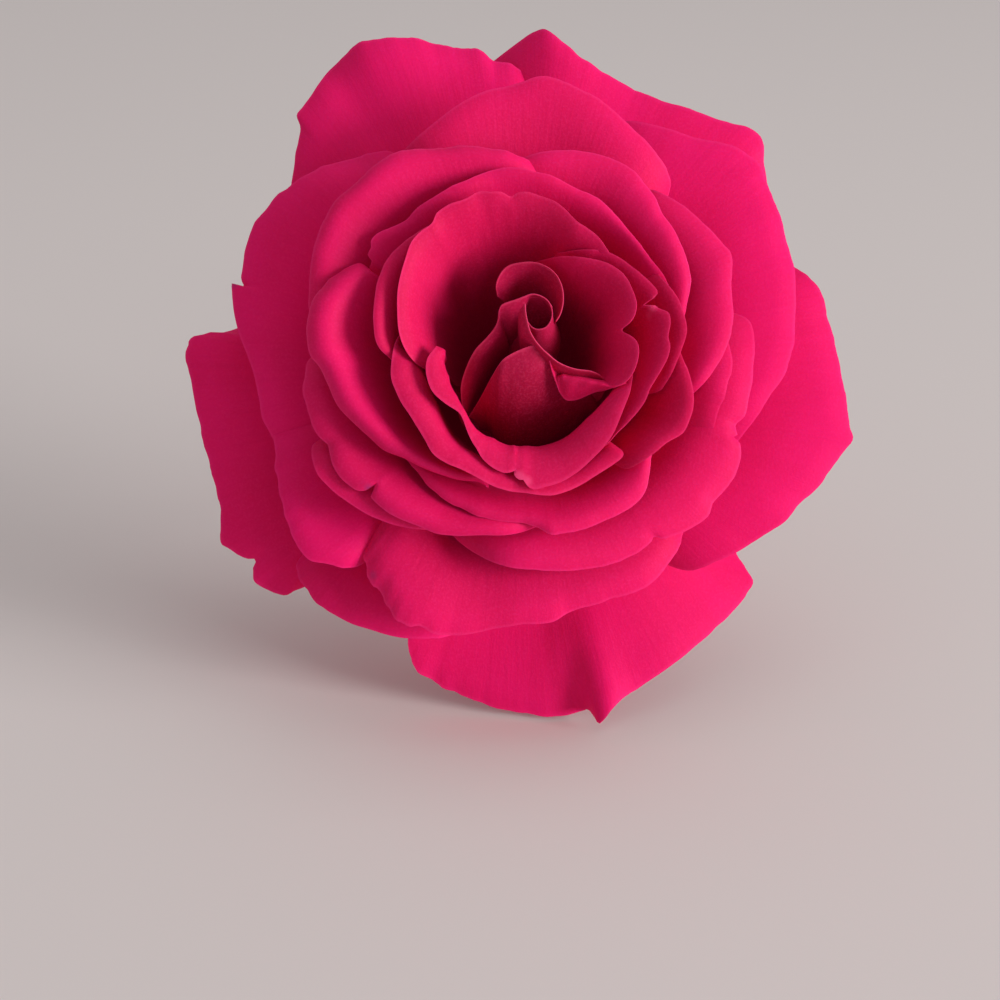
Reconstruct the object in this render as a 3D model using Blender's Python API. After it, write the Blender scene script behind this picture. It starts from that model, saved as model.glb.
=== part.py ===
"""A cut rose that lies on a table, its open bloom propped on the lowest petal and facing -Y."""

import math
from collections import namedtuple

import bmesh
import bpy
from mathutils import Matrix, Vector

# Lengths are in millimetres and angles in degrees, and MM turns a length into metres
MM = 0.001

# Place of the bloom: the middle of its base, and how far its axis rises from the table
BLOOM_BASE = Vector((0.1, -55.0, 45.2))
BLOOM_RISE = math.radians(35)
BLOOM_AXIS = Vector((0, -math.cos(BLOOM_RISE), math.sin(BLOOM_RISE)))
BLOOM_UP = Vector((0, math.sin(BLOOM_RISE), math.cos(BLOOM_RISE)))

# Petals: thickness, half the angle that a claw takes up, the share of the height where a petal
# reaches its full width, how softly the table bends it, and what lies flat on the table
BLADE = 0.75
CLAW_HALF_ANGLE = 42
SPREAD_AT = 0.6
TABLE_SOFTNESS = 1.2
PRESSED_FLAT = 0.25

# Hip and receptacle, as (height, radius) stations along the bloom's axis
JOINT_GAP = 0.3
HIP_TOP = 0.2
HIP_FOOT = -14.0
HIP = [(HIP_TOP, 6.0), (-2.0, 6.8), (-6.0, 6.9), (-10.0, 5.6), (HIP_FOOT, 3.4)]
RECEPTACLE = [(HIP_TOP + JOINT_GAP, 5.6), (2.6, 7.4), (5.2, 6.2)]
TURNED_SIDES = 16
WELD = 0.001

# Sepals: the curve holds the handles of each one's middle line, as (radius, height)
SEPAL_COUNT = 5
SEPAL_FIRST = 54
SEPAL_WIDTH = 9.5
SEPAL_TIP = 0.4
SEPAL_TAPER = 0.8
SEPAL_WAIST = 0.75
SEPAL_BULGE = 1.1
SEPAL_CUPPING = 0.8
SEPAL_CURVE = [(4.5, -2.8), (12.0, 0.6), (21.0, -6.0), (22.0, -20.0)]

# Stem
STEM_TOP = HIP_FOOT - JOINT_GAP
STEM_REACH = 158.0
STEM_PULL = 52.0
STEM_FLAT = Vector((-0.14, 1.0, -0.03))
STEM_LEAN = -15.0
STEM_SWAY = 0.9
STEM_RADIUS_TOP = 2.5
STEM_RADIUS_CUT = 2.9
STEM_SLANT = 0.9
STEM_SCARS = [0.24, 0.53, 0.82]
SCAR_LENGTH = 0.018
SCAR_SWELL = 0.7
STEM_SIDES = 10
STEM_STATIONS = 28
STEM_NUDGE = 0.002

# Prickles
PRICKLE_COUNT = 9
PRICKLE_FIRST = 0.09
PRICKLE_LENGTH = 6.0
PRICKLE_SUNK = 1.2
PRICKLE_BASE = 1.5
PRICKLE_POINT = 0.2
PRICKLE_STRETCH = 1.35
PRICKLE_THIN = 0.65
PRICKLE_HOOK = 0.35
PRICKLE_LOWEST = -20
GOLDEN_ANGLE = 137.5

# A petal's rim is a list of (azimuth in degrees, radius, height) round the bloom's axis, in
# millimetres: azimuth 0 is the viewer's right and 90 is up. The claw is the (radius, height) of
# its root. It leaves the claw at the angle and reach of rise, and comes to its rim at those of
# roll, where 90 points along the axis and 0 straight out from it.
Petal = namedtuple("Petal", "claw rise roll rim")

OUTER = {
    "outer_top_left": Petal((6.0, 1.8), (24, 24), (-8, 20), [
        (152, 45, 9), (146, 48, 12), (140, 51, 14), (133, 56.5, 15), (127, 61, 15),
        (120, 64.6, 15.5), (115, 65.2, 16), (108, 63.4, 16), (98, 59.2, 16), (91, 55, 14), (84, 50, 10)]),
    "outer_top_right": Petal((6.0, 2.1), (30, 24), (-4, 20), [
        (100, 50, 13), (94, 55, 17), (89, 59, 18.5), (86, 60.8, 19), (81, 58.3, 19), (75, 55.2, 18.5),
        (67, 54, 18), (59, 54.4, 18), (52, 56.6, 18), (47, 57.8, 18), (43, 57, 17.5), (38, 52, 15),
        (33, 47, 11)]),
    "outer_right": Petal((6.0, 1.8), (22, 22), (-6, 18), [
        (32, 44, 9), (24, 49.5, 12), (17, 53.6, 14), (10, 54.4, 14), (4, 54.6, 14), (-3, 55.4, 13.5),
        (-10, 56.7, 13), (-16, 54.3, 13), (-24, 51.4, 13), (-31, 49, 12.5), (-39, 46.6, 11.5),
        (-48, 43, 9)]),
    "outer_upper_right": Petal((6.2, 2.6), (34, 24), (-6, 16), [
        (75, 44, 20), (62, 48, 23), (54, 50.8, 24), (47, 52.6, 24.5), (40, 53.5, 24), (34, 52, 24),
        (24, 49.8, 24), (14, 47.4, 24), (8, 46.2, 24), (0, 44, 24), (-6, 41.7, 23.5), (-16, 38.6, 22),
        (-26, 36, 19)]),
    "outer_bottom": Petal((6.0, 1.4), (12, 22), (-12, 18), [
        (330, 42, 1), (325, 46, 3), (321, 50.6, 4), (316, 52.2, 4.5), (306, 52.2, 4.5), (294, 53.8, 4),
        (288, 55.6, 3), (283, 59.0, 2), (281, 57.2, 0), (277, 57.6, -1), (272, 57, -2), (266, 55.3, -2),
        (255, 52.8, -1), (247, 50.6, 1), (240, 48, 2)]),
    "outer_left": Petal((6.0, 1.6), (20, 24), (-6, 20), [
        (158, 44, 9), (164, 47, 11), (168, 50, 12), (172, 56, 12), (176, 56.7, 12.5), (182, 55.5, 13),
        (188, 54.5, 13), (196, 54.3, 13), (203, 55, 12.5), (208, 57, 12), (213, 55.5, 12),
        (217, 56, 11.5), (222, 53.3, 11.5), (227, 50, 10), (234, 46, 7)]),
    "outer_lower_left": Petal((6.0, 2.0), (28, 22), (-8, 16), [
        (214, 46, 13), (220, 49, 16), (225, 50, 17.5), (230, 50.6, 18), (236, 50, 18), (241, 49, 18),
        (249, 46.8, 17), (257, 44.5, 14), (264, 42, 11)]),
    "outer_upper_left": Petal((6.2, 2.6), (34, 22), (-8, 14), [
        (118, 42, 20), (129, 46.2, 23), (138, 48.9, 24.5), (148, 50.3, 25), (156, 50.4, 25),
        (162, 49, 25), (167, 48.2, 25), (172, 47, 25), (181, 44.2, 25), (190, 43, 24.5),
        (197, 42, 24), (206, 39, 21)]),
    "outer_inner_left": Petal((6.2, 2.8), (36, 22), (-6, 12), [
        (188, 39.5, 22), (198, 42.1, 24.5), (204, 43.9, 25.5), (212, 45.4, 26), (217, 46.2, 26),
        (221, 46.3, 25.5), (226, 45, 25), (231, 42.5, 24), (238, 39, 21)]),
}

MIDDLE = {
    "middle_top": Petal((6.0, 3.0), (32, 22), (-4, 14), [
        (128, 37, 28), (114, 40.6, 31.5), (100, 45.3, 33), (85, 47.7, 33), (73, 45.8, 33),
        (58, 41.5, 33), (52, 40, 32), (42, 38, 29)]),
    "middle_top_left": Petal((5.8, 3.6), (30, 19), (-2, 11), [
        (172, 33, 37), (165, 34.5, 38.5), (159, 36.1, 39.5), (151, 37.3, 40), (140, 38.3, 40.5),
        (128, 37.6, 41), (120, 37.4, 41), (108, 35.5, 40.5), (95, 33.3, 40), (84, 31.5, 38.5),
        (74, 29.5, 36)]),
    "middle_top_right": Petal((5.8, 3.6), (30, 18), (0, 10), [
        (100, 29.5, 36), (88, 31.6, 38.5), (78, 33.6, 39.5), (67, 34.9, 40), (56, 35, 40),
        (44, 33.2, 39), (31, 31.3, 38.5), (20, 28.8, 38), (7, 26.6, 37), (-5, 25, 34)]),
    "middle_right": Petal((6.0, 3.2), (30, 20), (0, 11), [
        (62, 33, 34), (52, 34.7, 35.5), (39, 36.2, 36.5), (25, 37.4, 37), (14, 35.6, 36.5),
        (8, 34.2, 36), (-1, 32.7, 36), (-7, 31.2, 36), (-13, 29, 35.5), (-22, 27, 33)]),
    "middle_right_tip": Petal((6.0, 3.2), (32, 19), (5, 9), [
        (15, 34, 34), (4, 34.2, 35.5), (-4, 34, 36), (-11, 33.6, 36), (-16, 33.2, 35.5),
        (-21, 33, 35), (-27, 32, 33)]),
    "middle_low_right": Petal((6.0, 3.0), (32, 22), (-2, 11), [
        (24, 36, 30), (12, 37.8, 32.5), (6, 38.3, 33), (-3, 38, 33.5), (-15, 37.6, 34),
        (-19, 36.7, 33.5), (-23, 38.4, 34), (-31, 39.5, 34), (-38, 39.3, 33.5), (-46, 39.2, 33),
        (-52, 38, 32.5), (-58, 36, 31), (-66, 33.5, 28)]),
    "middle_low": Petal((6.0, 2.9), (32, 21), (-4, 10), [
        (316, 34, 30), (308, 36, 32), (302, 36.8, 33), (295, 36.9, 33), (288, 36.4, 33), (276, 35, 33),
        (269, 34.5, 32.5), (259, 33.3, 32), (248, 32, 30), (238, 30.5, 27)]),
    "middle_low_inner": Petal((5.8, 3.5), (32, 17), (8, 8), [
        (336, 23, 34), (324, 26, 36.5), (315, 29.1, 38), (308, 30.9, 38), (297, 31, 38), (283, 30.4, 38),
        (278, 29.6, 38), (273, 28.6, 37.5), (262, 27.8, 37.5), (250, 26.7, 37.5), (240, 26, 37),
        (228, 25.1, 36), (215, 24, 33)]),
    "middle_low_left": Petal((6.0, 3.3), (32, 19), (0, 9), [
        (178, 31, 33), (189, 34.5, 35.5), (200, 35.6, 36.5), (205, 34.6, 36.5), (217, 34.7, 37),
        (223, 33.2, 37), (230, 33.4, 37), (240, 32.3, 37), (251, 31.1, 37), (267, 29.6, 36.5),
        (278, 28.9, 36), (290, 27.5, 33)]),
    "middle_left_tip": Petal((6.0, 3.1), (32, 20), (0, 9), [
        (197, 34, 32), (207, 37, 34), (212, 37.5, 34.5), (220, 36.6, 35), (225, 35.6, 35),
        (237, 33.8, 34.5), (248, 32, 32)]),
    "middle_left": Petal((5.6, 3.8), (30, 17), (2, 10), [
        (140, 27.5, 39), (150, 28.5, 40.5), (156, 30, 41), (161, 31.8, 41.5), (169, 33.2, 41.5),
        (178, 33.5, 41), (182, 33, 41), (186, 31.8, 41), (199, 30.2, 41), (212, 27.8, 41),
        (225, 25.8, 40), (235, 24.8, 39.5), (247, 23.5, 38.5), (258, 23, 36)]),
    "middle_back_inner": Petal((5.6, 3.8), (30, 16), (12, 9), [
        (165, 24, 38), (155, 26.5, 40), (149, 27.6, 41), (143, 29.2, 42), (138, 28.5, 42),
        (129, 27.6, 42.5), (118, 27.7, 43), (108, 28.5, 43), (97, 29.3, 43), (84, 28.7, 42.5),
        (74, 27.8, 42), (62, 27.1, 41), (50, 26, 39)]),
    "middle_bottom": Petal((6.0, 2.4), (28, 24), (-14, 13), [
        (222, 37.5, 22), (228, 39, 24.5), (232, 40.8, 26), (236, 43, 26), (241, 44.8, 25.5),
        (246, 46.2, 25), (252, 46, 25), (258, 45.2, 25.5), (264, 43.5, 26), (271, 42.6, 26),
        (277, 42.6, 26), (290, 41.2, 26.5), (299, 41.6, 26.5), (304, 41, 26), (309, 39.8, 25.5),
        (316, 37.5, 23)]),
}

CUP = {
    "cup_back": Petal((5.8, 3.4), (32, 13), (30, 11), [
        (186, 15, 42), (172, 19, 45), (155, 21, 47), (139, 23.4, 48), (123, 23.9, 48), (104, 24.4, 47),
        (95, 23.2, 46.5), (87, 23.6, 47), (77, 22.7, 47), (64, 21.2, 46), (50, 20, 45), (36, 18.5, 42)]),
    "cup_back_left": Petal((5.2, 4.0), (30, 15), (20, 10), [
        (190, 21, 41), (178, 22.8, 44), (164, 23.9, 45), (150, 24.9, 46), (143, 24.9, 46),
        (135, 24.5, 45), (125, 24, 44), (112, 22, 42)]),
    "cup_left": Petal((5.2, 4.0), (30, 15), (25, 8), [
        (170, 18, 43), (178, 19.5, 44), (190, 20.2, 45), (205, 21.2, 45), (219, 21.4, 45),
        (233, 22.4, 45), (246, 22.6, 44.5), (258, 23.3, 44), (271, 24.1, 44), (281, 24.9, 43.5),
        (291, 24.6, 43), (303, 24, 42), (314, 22.5, 40)]),
    "cup_front": Petal((5.8, 3.4), (32, 13), (15, 6), [
        (184, 12.6, 44), (193, 14.5, 45), (204, 15.6, 46), (217, 15.6, 46), (232, 15, 45),
        (240, 16, 45), (250, 18.7, 45), (258, 21.3, 45), (264, 21.6, 45), (271, 22, 45),
        (275, 24, 45), (284, 23.5, 45), (292, 22.6, 45), (306, 21.3, 46), (318, 20.3, 46),
        (330, 19.4, 46), (339, 18.7, 45), (350, 16, 42)]),
    "cup_right": Petal((5.8, 3.4), (24, 15), (58, 8), [
        (84, 12.8, 44), (74, 13.8, 46), (61, 15, 47), (50, 16.7, 48), (40, 18.3, 48), (31, 19.5, 48),
        (20, 19.4, 48), (13, 18.8, 47), (5, 16.5, 46), (-4, 18.8, 47), (-13, 18.8, 47), (-21, 18.3, 46),
        (-27, 17, 45.5), (-31, 15, 45), (-34, 12.5, 44), (-38, 10.8, 42)]),
    "cup_right_outer": Petal((5.2, 4.0), (30, 15), (25, 8), [
        (62, 19, 42), (46, 20.5, 44), (34, 21.6, 45.5), (23, 22.9, 46), (17, 22.6, 45), (9, 23.9, 46),
        (2, 23.8, 46), (-8, 23.2, 45.5), (-21, 21.9, 45), (-36, 21.5, 44), (-49, 21.3, 43),
        (-60, 20.5, 40)]),
    "cup_right_rim": Petal((5.4, 3.9), (30, 16), (20, 8), [
        (40, 23.5, 41), (30, 25, 42.5), (22, 25.8, 43.5), (13, 26.6, 44), (5, 26.5, 44),
        (-5, 25.4, 43), (-11, 24.5, 42), (-20, 23, 40)]),
    "cup_low_right": Petal((5.4, 3.9), (30, 17), (18, 8), [
        (10, 25, 40), (2, 25.5, 41), (-5, 26, 42), (-10, 27.3, 42.5), (-17, 28.4, 42.5),
        (-26, 29, 42), (-30, 29.2, 42), (-35, 28, 41.5), (-40, 27.3, 41), (-48, 25, 38)]),
}

# The furled heart leans: its own axis is this far right and up of the bloom's at full height
HEART_LEAN = (2.9, 3.4)
HEART_HEIGHT = 48.0
HEART_CORE = [(5.5, 5.6), (12.0, 6.4), (22.0, 5.6), (32.0, 3.4), (41.0, 1.2)]
HEART = {
    "heart_front": Petal((4.0, 7.0), (46, 12), (112, 12), [
        (228, 10.0, 28), (228, 10.4, 34), (227, 10.0, 39.5), (228, 8.6, 43.5), (239, 6.6, 44.5),
        (255, 5.3, 45), (278, 4.6, 44.5), (300, 4.8, 43), (325, 5.6, 39), (350, 6.4, 32)]),
    "heart_left": Petal((4.0, 7.0), (48, 12), (80, 12), [
        (226, 12.6, 28), (218, 12.8, 34), (209, 12.2, 40), (198, 9.6, 44), (180, 7.6, 45.5),
        (163, 6.3, 46.5), (150, 5.3, 47.3), (130, 4.2, 48), (103, 3.6, 48.3), (67, 3.3, 48.3),
        (35, 3.1, 48), (13, 2.9, 47.3), (-10, 2.8, 46)]),
    "heart_back": Petal((4.0, 7.0), (56, 11), (80, 10), [
        (150, 9.2, 38), (123, 8.8, 42), (102, 8.0, 43.5), (83, 7.5, 44), (66, 7.0, 44),
        (51, 6.2, 44), (30, 5.2, 43.5), (10, 4.8, 42), (-15, 5.0, 37)]),
    "heart_scroll": Petal((2.4, 9.0), (75, 12), (95, 12), [
        (-30, 1.1, 46.5), (40, 1.3, 48), (110, 1.7, 48.8), (159, 2.1, 48.8), (200, 2.4, 48.4),
        (248, 3.0, 47.2), (276, 4.9, 46), (286, 5.9, 45.5), (298, 7.6, 44.8), (310, 9.2, 43.6)]),
}


def clear_scene():
    for obj in list(bpy.data.objects):
        bpy.data.objects.remove(obj, do_unlink=True)


def material(name, colour, roughness):
    made = bpy.data.materials.new(name)
    made.use_nodes = True
    shader = made.node_tree.nodes["Principled BSDF"]
    shader.inputs["Base Color"].default_value = (*colour, 1)
    shader.inputs["Roughness"].default_value = roughness
    shader.inputs["Metallic"].default_value = 0
    return made


def new_object(name, bm):
    mesh = bpy.data.meshes.new(name)
    bm.to_mesh(mesh)
    bm.free()
    obj = bpy.data.objects.new(name, mesh)
    bpy.context.scene.collection.objects.link(obj)
    return obj


def in_bloom(right, up, height):
    """The world point, in metres, of a place in the bloom's own frame in millimetres."""
    return (BLOOM_BASE + Vector((right, 0, 0)) + up * BLOOM_UP + height * BLOOM_AXIS) * MM


def round_bloom(azimuth, radius, height, lean=(0, 0)):
    """The same for an azimuth, radius and height; lean tips the axis that they turn round."""
    turn = math.radians(azimuth)
    tip = height / HEART_HEIGHT
    right = radius * math.cos(turn) + lean[0] * tip
    up = radius * math.sin(turn) + lean[1] * tip
    return in_bloom(right, up, height)


def above_table(point, rest):
    """Bends what would go under the table up to lie along it, rest metres above it."""
    soft = TABLE_SOFTNESS * MM
    rise = (point.z - rest) / soft
    point.z = rest + soft * (max(rise, 0) + math.log1p(math.exp(-abs(rise))))
    return point


def on_rim(rim, share):
    """Azimuth, radius and height at a share of the rim's length, on a smooth curve through its points."""
    places = [Vector(place) for place in rim]
    knots = [0.0]
    for before, after in zip(places, places[1:]):
        turn = math.radians(after.x - before.x) * (before.y + after.y) / 2
        knots.append(knots[-1] + math.hypot(turn, after.y - before.y, after.z - before.z))
    at = share * knots[-1]
    i = max(k for k in range(len(rim) - 1) if knots[k] <= at)
    step = knots[i + 1] - knots[i]
    u = (at - knots[i]) / step
    low, high = max(i - 1, 0), min(i + 2, len(rim) - 1)
    leaving = (places[i + 1] - places[low]) / (knots[i + 1] - knots[low]) * step
    coming = (places[high] - places[i]) / (knots[high] - knots[i]) * step
    return (
        places[i] * (2 * u**3 - 3 * u**2 + 1)
        + leaving * (u**3 - 2 * u**2 + u)
        + places[i + 1] * (3 * u**2 - 2 * u**3)
        + coming * (u**3 - u**2)
    )


def heading(angle, reach):
    return reach * Vector((math.cos(math.radians(angle)), math.sin(math.radians(angle))))


def petal_point(petal, across, up, lean):
    """A point of the face that looks into the bloom: across runs along the rim, up from claw to rim."""
    azimuth, radius, height = on_rim(petal.rim, across)
    first, last = petal.rim[0][0], petal.rim[-1][0]
    middle = (first + last) / 2
    narrow = min(1, 2 * CLAW_HALF_ANGLE / abs(last - first))
    spread = narrow + (1 - narrow) * math.sin(math.pi / 2 * min(1, up / SPREAD_AT))
    root = Vector(petal.claw)
    tip = Vector((radius, height))
    leaving = root + heading(*petal.rise)
    coming = tip - heading(*petal.roll)
    down = 1 - up
    place = down**3 * root + 3 * down**2 * up * leaving + 3 * down * up**2 * coming + up**3 * tip
    return round_bloom(middle + (azimuth - middle) * spread, place.x, place.y, lean)


def face_outwards(bm):
    bm.normal_update()
    bmesh.ops.recalc_face_normals(bm, faces=bm.faces[:])


def thicken(bm, thickness):
    """Gives a sheet its thickness on the side that its normals point away from, in triangles."""
    bmesh.ops.triangulate(bm, faces=bm.faces[:])
    grown = bmesh.ops.extrude_face_region(bm, geom=bm.faces[:])["geom"]
    bm.normal_update()
    for vert in [part for part in grown if isinstance(part, bmesh.types.BMVert)]:
        vert.co -= thickness * vert.normal
    face_outwards(bm)


def face_along(bm, direction):
    """Turns a sheet over where most of it faces against the direction."""
    bm.normal_update()
    facing = sum(face.normal.dot(direction) * face.calc_area() for face in bm.faces)
    if facing < 0:
        bmesh.ops.reverse_faces(bm, faces=bm.faces[:])


def petal_blade(name, petal, columns, rows, lean=(0, 0)):
    """One petal as a thin closed blade."""
    bm = bmesh.new()
    bmesh.ops.create_grid(bm, x_segments=columns, y_segments=rows, size=0.5)
    for vert in bm.verts:
        point = petal_point(petal, vert.co.x + 0.5, vert.co.y + 0.5, lean)
        vert.co = above_table(point, BLADE * MM)
    face_along(bm, BLOOM_AXIS)
    thicken(bm, BLADE * MM)
    for vert in bm.verts:
        if vert.co.z < PRESSED_FLAT * MM:
            vert.co.z = 0
    return new_object(name, bm)


def turned(name, profile, lean=(0, 0)):
    """A closed solid turned round the bloom's axis from (height, radius) stations."""
    bm = bmesh.new()
    stations = [(profile[0][0], 0), *profile, (profile[-1][0], 0)]
    verts = [bm.verts.new((radius, 0, height)) for height, radius in stations]
    edges = [bm.edges.new(pair) for pair in zip(verts, verts[1:])]
    bmesh.ops.spin(bm, geom=verts + edges, cent=(0, 0, 0), axis=(0, 0, 1), angle=2 * math.pi,
                   steps=TURNED_SIDES, use_merge=True)
    bmesh.ops.remove_doubles(bm, verts=bm.verts[:], dist=WELD)
    for vert in bm.verts:
        tip = vert.co.z / HEART_HEIGHT
        vert.co = in_bloom(vert.co.x + lean[0] * tip, vert.co.y + lean[1] * tip, vert.co.z)
    face_outwards(bm)
    return new_object(name, bm)


def keep_body(bm):
    """Keeps the largest body: a hollow that the fusing sealed is filled, and a loose scrap goes."""
    left = set(bm.faces)
    islands = []
    while left:
        island = [left.pop()]
        for face in island:
            for edge in face.edges:
                near = [other for other in edge.link_faces if other in left]
                left.difference_update(near)
                island.extend(near)
        islands.append(island)
    islands.sort(key=len)
    scraps = [face for island in islands[:-1] for face in island]
    bmesh.ops.delete(bm, geom=scraps, context="FACES")


def fuse(name, body, pieces, skin, solver):
    """Joins the pieces to the body in one solid, and removes them."""
    joined = bpy.data.collections.new(name + "_pieces")
    for piece in pieces:
        joined.objects.link(piece)
    union = body.modifiers.new("union", "BOOLEAN")
    union.operation = "UNION"
    union.operand_type = "COLLECTION"
    union.collection = joined
    union.solver = solver
    graph = bpy.context.evaluated_depsgraph_get()
    bm = bmesh.new()
    bm.from_mesh(body.evaluated_get(graph).to_mesh())
    keep_body(bm)
    for piece in [body, *pieces]:
        bpy.data.objects.remove(piece, do_unlink=True)
    bpy.data.collections.remove(joined)
    solid = new_object(name, bm)
    solid.data.materials.append(skin)
    return solid


def make_petals():
    body = turned("receptacle", RECEPTACLE)
    blades = []
    for ring, columns, rows in ((OUTER, 9, 5), (MIDDLE, 8, 5), (CUP, 9, 5)):
        blades += [petal_blade(name, petal, columns, rows) for name, petal in ring.items()]
    return fuse("petals", body, blades, material("petal_pink", (0.58, 0.012, 0.085), 0.55), "MANIFOLD")


def make_heart():
    body = turned("heart_core", HEART_CORE, HEART_LEAN)
    blades = [petal_blade(name, petal, 10, 6, HEART_LEAN) for name, petal in HEART.items()]
    return fuse("heart", body, blades, material("heart_red", (0.40, 0.006, 0.045), 0.55), "MANIFOLD")


def sepal_blade(name, azimuth):
    """A sepal that leaves the hip outwards and bends back round it."""
    bm = bmesh.new()
    bmesh.ops.create_grid(bm, x_segments=4, y_segments=9, size=0.5)
    for vert in bm.verts:
        across, along = 2 * vert.co.x, vert.co.y + 0.5
        half = SEPAL_WIDTH / 2 * (1 - along) ** SEPAL_TAPER * (SEPAL_WAIST + SEPAL_BULGE * along) + SEPAL_TIP
        down = 1 - along
        place = (
            down**3 * Vector(SEPAL_CURVE[0])
            + 3 * down**2 * along * Vector(SEPAL_CURVE[1])
            + 3 * down * along**2 * Vector(SEPAL_CURVE[2])
            + along**3 * Vector(SEPAL_CURVE[3])
        )
        side = across * half
        turn = math.radians(azimuth)
        right = place.x * math.cos(turn) - side * math.sin(turn)
        up = place.x * math.sin(turn) + side * math.cos(turn)
        vert.co = in_bloom(right, up, place.y + SEPAL_CUPPING * across**2)
    face_along(bm, BLOOM_AXIS)
    thicken(bm, BLADE * MM)
    return new_object(name, bm)


def make_calyx():
    hip = turned("hip", HIP)
    sepals = [sepal_blade(f"sepal_{i}", SEPAL_FIRST + 360 * i / SEPAL_COUNT) for i in range(SEPAL_COUNT)]
    return fuse("calyx", hip, sepals, material("sepal_green", (0.09, 0.17, 0.035), 0.6), "MANIFOLD")


def on_stem(share):
    """The stem's middle, in metres: it leaves the hip along the bloom's axis and comes down to lie flat."""
    root = in_bloom(0, 0, STEM_TOP)
    cut = Vector((STEM_LEAN, BLOOM_BASE.y + STEM_REACH, STEM_RADIUS_CUT)) * MM
    leaving = root - STEM_PULL * MM * BLOOM_AXIS
    coming = cut - STEM_PULL * MM * STEM_FLAT.normalized()
    left = 1 - share
    point = left**3 * root + 3 * left**2 * share * leaving + 3 * left * share**2 * coming + share**3 * cut
    point.x += STEM_SWAY * MM * math.sin(3 * math.pi * share)
    return point


def stem_radius(share):
    """The stem thickens a little to its cut end and swells at the leaf scars."""
    radius = STEM_RADIUS_TOP + (STEM_RADIUS_CUT - STEM_RADIUS_TOP) * share
    swelling = sum(math.exp(-(((share - node) / SCAR_LENGTH) ** 2)) for node in STEM_SCARS)
    return (radius + SCAR_SWELL * swelling) * MM


def stem_heading(share):
    ahead = on_stem(min(1, share + STEM_NUDGE))
    return (ahead - on_stem(max(0, share - STEM_NUDGE))).normalized()


def stem_tube():
    """The bare stem: a ring of sides carried along the middle line, station by station."""
    bm = bmesh.new()
    made = bmesh.ops.create_circle(bm, cap_ends=True, segments=STEM_SIDES, radius=stem_radius(0))
    here, facing, size = on_stem(0), stem_heading(0), stem_radius(0)
    first = Matrix.Translation(here) @ Vector((0, 0, 1)).rotation_difference(facing).to_matrix().to_4x4()
    bmesh.ops.transform(bm, matrix=first, verts=made["verts"])
    cap = bm.faces[:]
    for station in range(1, STEM_STATIONS + 1):
        share = station / STEM_STATIONS
        grown = bmesh.ops.extrude_face_region(bm, geom=cap)["geom"]
        if station > 1:
            bmesh.ops.delete(bm, geom=cap, context="FACES_ONLY")
        ring = [part for part in grown if isinstance(part, bmesh.types.BMVert)]
        cap = [part for part in grown if isinstance(part, bmesh.types.BMFace)]
        there, turned_to, wide = on_stem(share), stem_heading(share), stem_radius(share)
        turn = facing.rotation_difference(turned_to).to_matrix().to_4x4()
        move = Matrix.Translation(there) @ turn @ Matrix.Scale(wide / size, 4) @ Matrix.Translation(-here)
        bmesh.ops.transform(bm, matrix=move, verts=ring)
        here, facing, size = there, turned_to, wide
    for vert in ring:
        vert.co += facing * STEM_SLANT * (vert.co.z - here.z)
    for vert in bm.verts:
        vert.co.z = max(vert.co.z, 0)
    face_outwards(bm)
    return new_object("stem_tube", bm)


def prickle(name, share, turn):
    """A flattened thorn, sunk in the stem and hooked towards its cut end."""
    bm = bmesh.new()
    bmesh.ops.create_cone(bm, cap_ends=True, segments=6, radius1=PRICKLE_BASE,
                          radius2=PRICKLE_POINT, depth=PRICKLE_LENGTH)
    along = stem_heading(share)
    side = Vector((0, 0, 1)).cross(along).normalized()
    out = Matrix.Rotation(math.radians(turn), 3, along) @ side
    across = out.cross(along)
    root = on_stem(share) + out * (stem_radius(share) - PRICKLE_SUNK * MM)
    for vert in bm.verts:
        rise = vert.co.z + PRICKLE_LENGTH / 2
        hook = PRICKLE_HOOK * rise**2 / PRICKLE_LENGTH
        vert.co = root + MM * (
            (vert.co.x * PRICKLE_STRETCH + hook) * along + vert.co.y * PRICKLE_THIN * across + rise * out
        )
    face_outwards(bm)
    return new_object(name, bm)


def make_stem():
    """Prickles stand round the stem by the golden angle, on the sides that don't lie on the table."""
    prickles = []
    for i in range(PRICKLE_COUNT):
        share = PRICKLE_FIRST + (1 - 2 * PRICKLE_FIRST) * i / (PRICKLE_COUNT - 1)
        turn = PRICKLE_LOWEST + (GOLDEN_ANGLE * i) % (180 - 2 * PRICKLE_LOWEST)
        prickles.append(prickle(f"prickle_{i}", share, turn))
    return fuse("stem", stem_tube(), prickles, material("stem_green", (0.12, 0.20, 0.05), 0.55), "EXACT")


def main():
    clear_scene()
    for make in (make_petals, make_heart, make_calyx, make_stem):
        solid = make()
        solid.data.shade_smooth()
        solid.data.set_sharp_from_angle(angle=math.radians(50))


main()
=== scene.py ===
# %% [markdown]
# # An open rose, cut and laid down
#
# A rose is a lesson in one shape repeated: every petal is the same thin blade, narrow where it
# grows and wide at its rim. What changes from one to the next is how far it has opened, how its
# rim has rolled back, and the small tears and folds that age leaves. So the script has one
# function that makes a petal, and a table that says how each petal differs.
#
# The flower's own lengths are in millimetres, and become metres where a point is placed. Noise,
# bumps, the floor, the lamps and the camera are in metres from the start.

import math
from collections import namedtuple
from functools import cache, partial

import bmesh
import bpy
from mathutils import Matrix, Vector, noise


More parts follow.
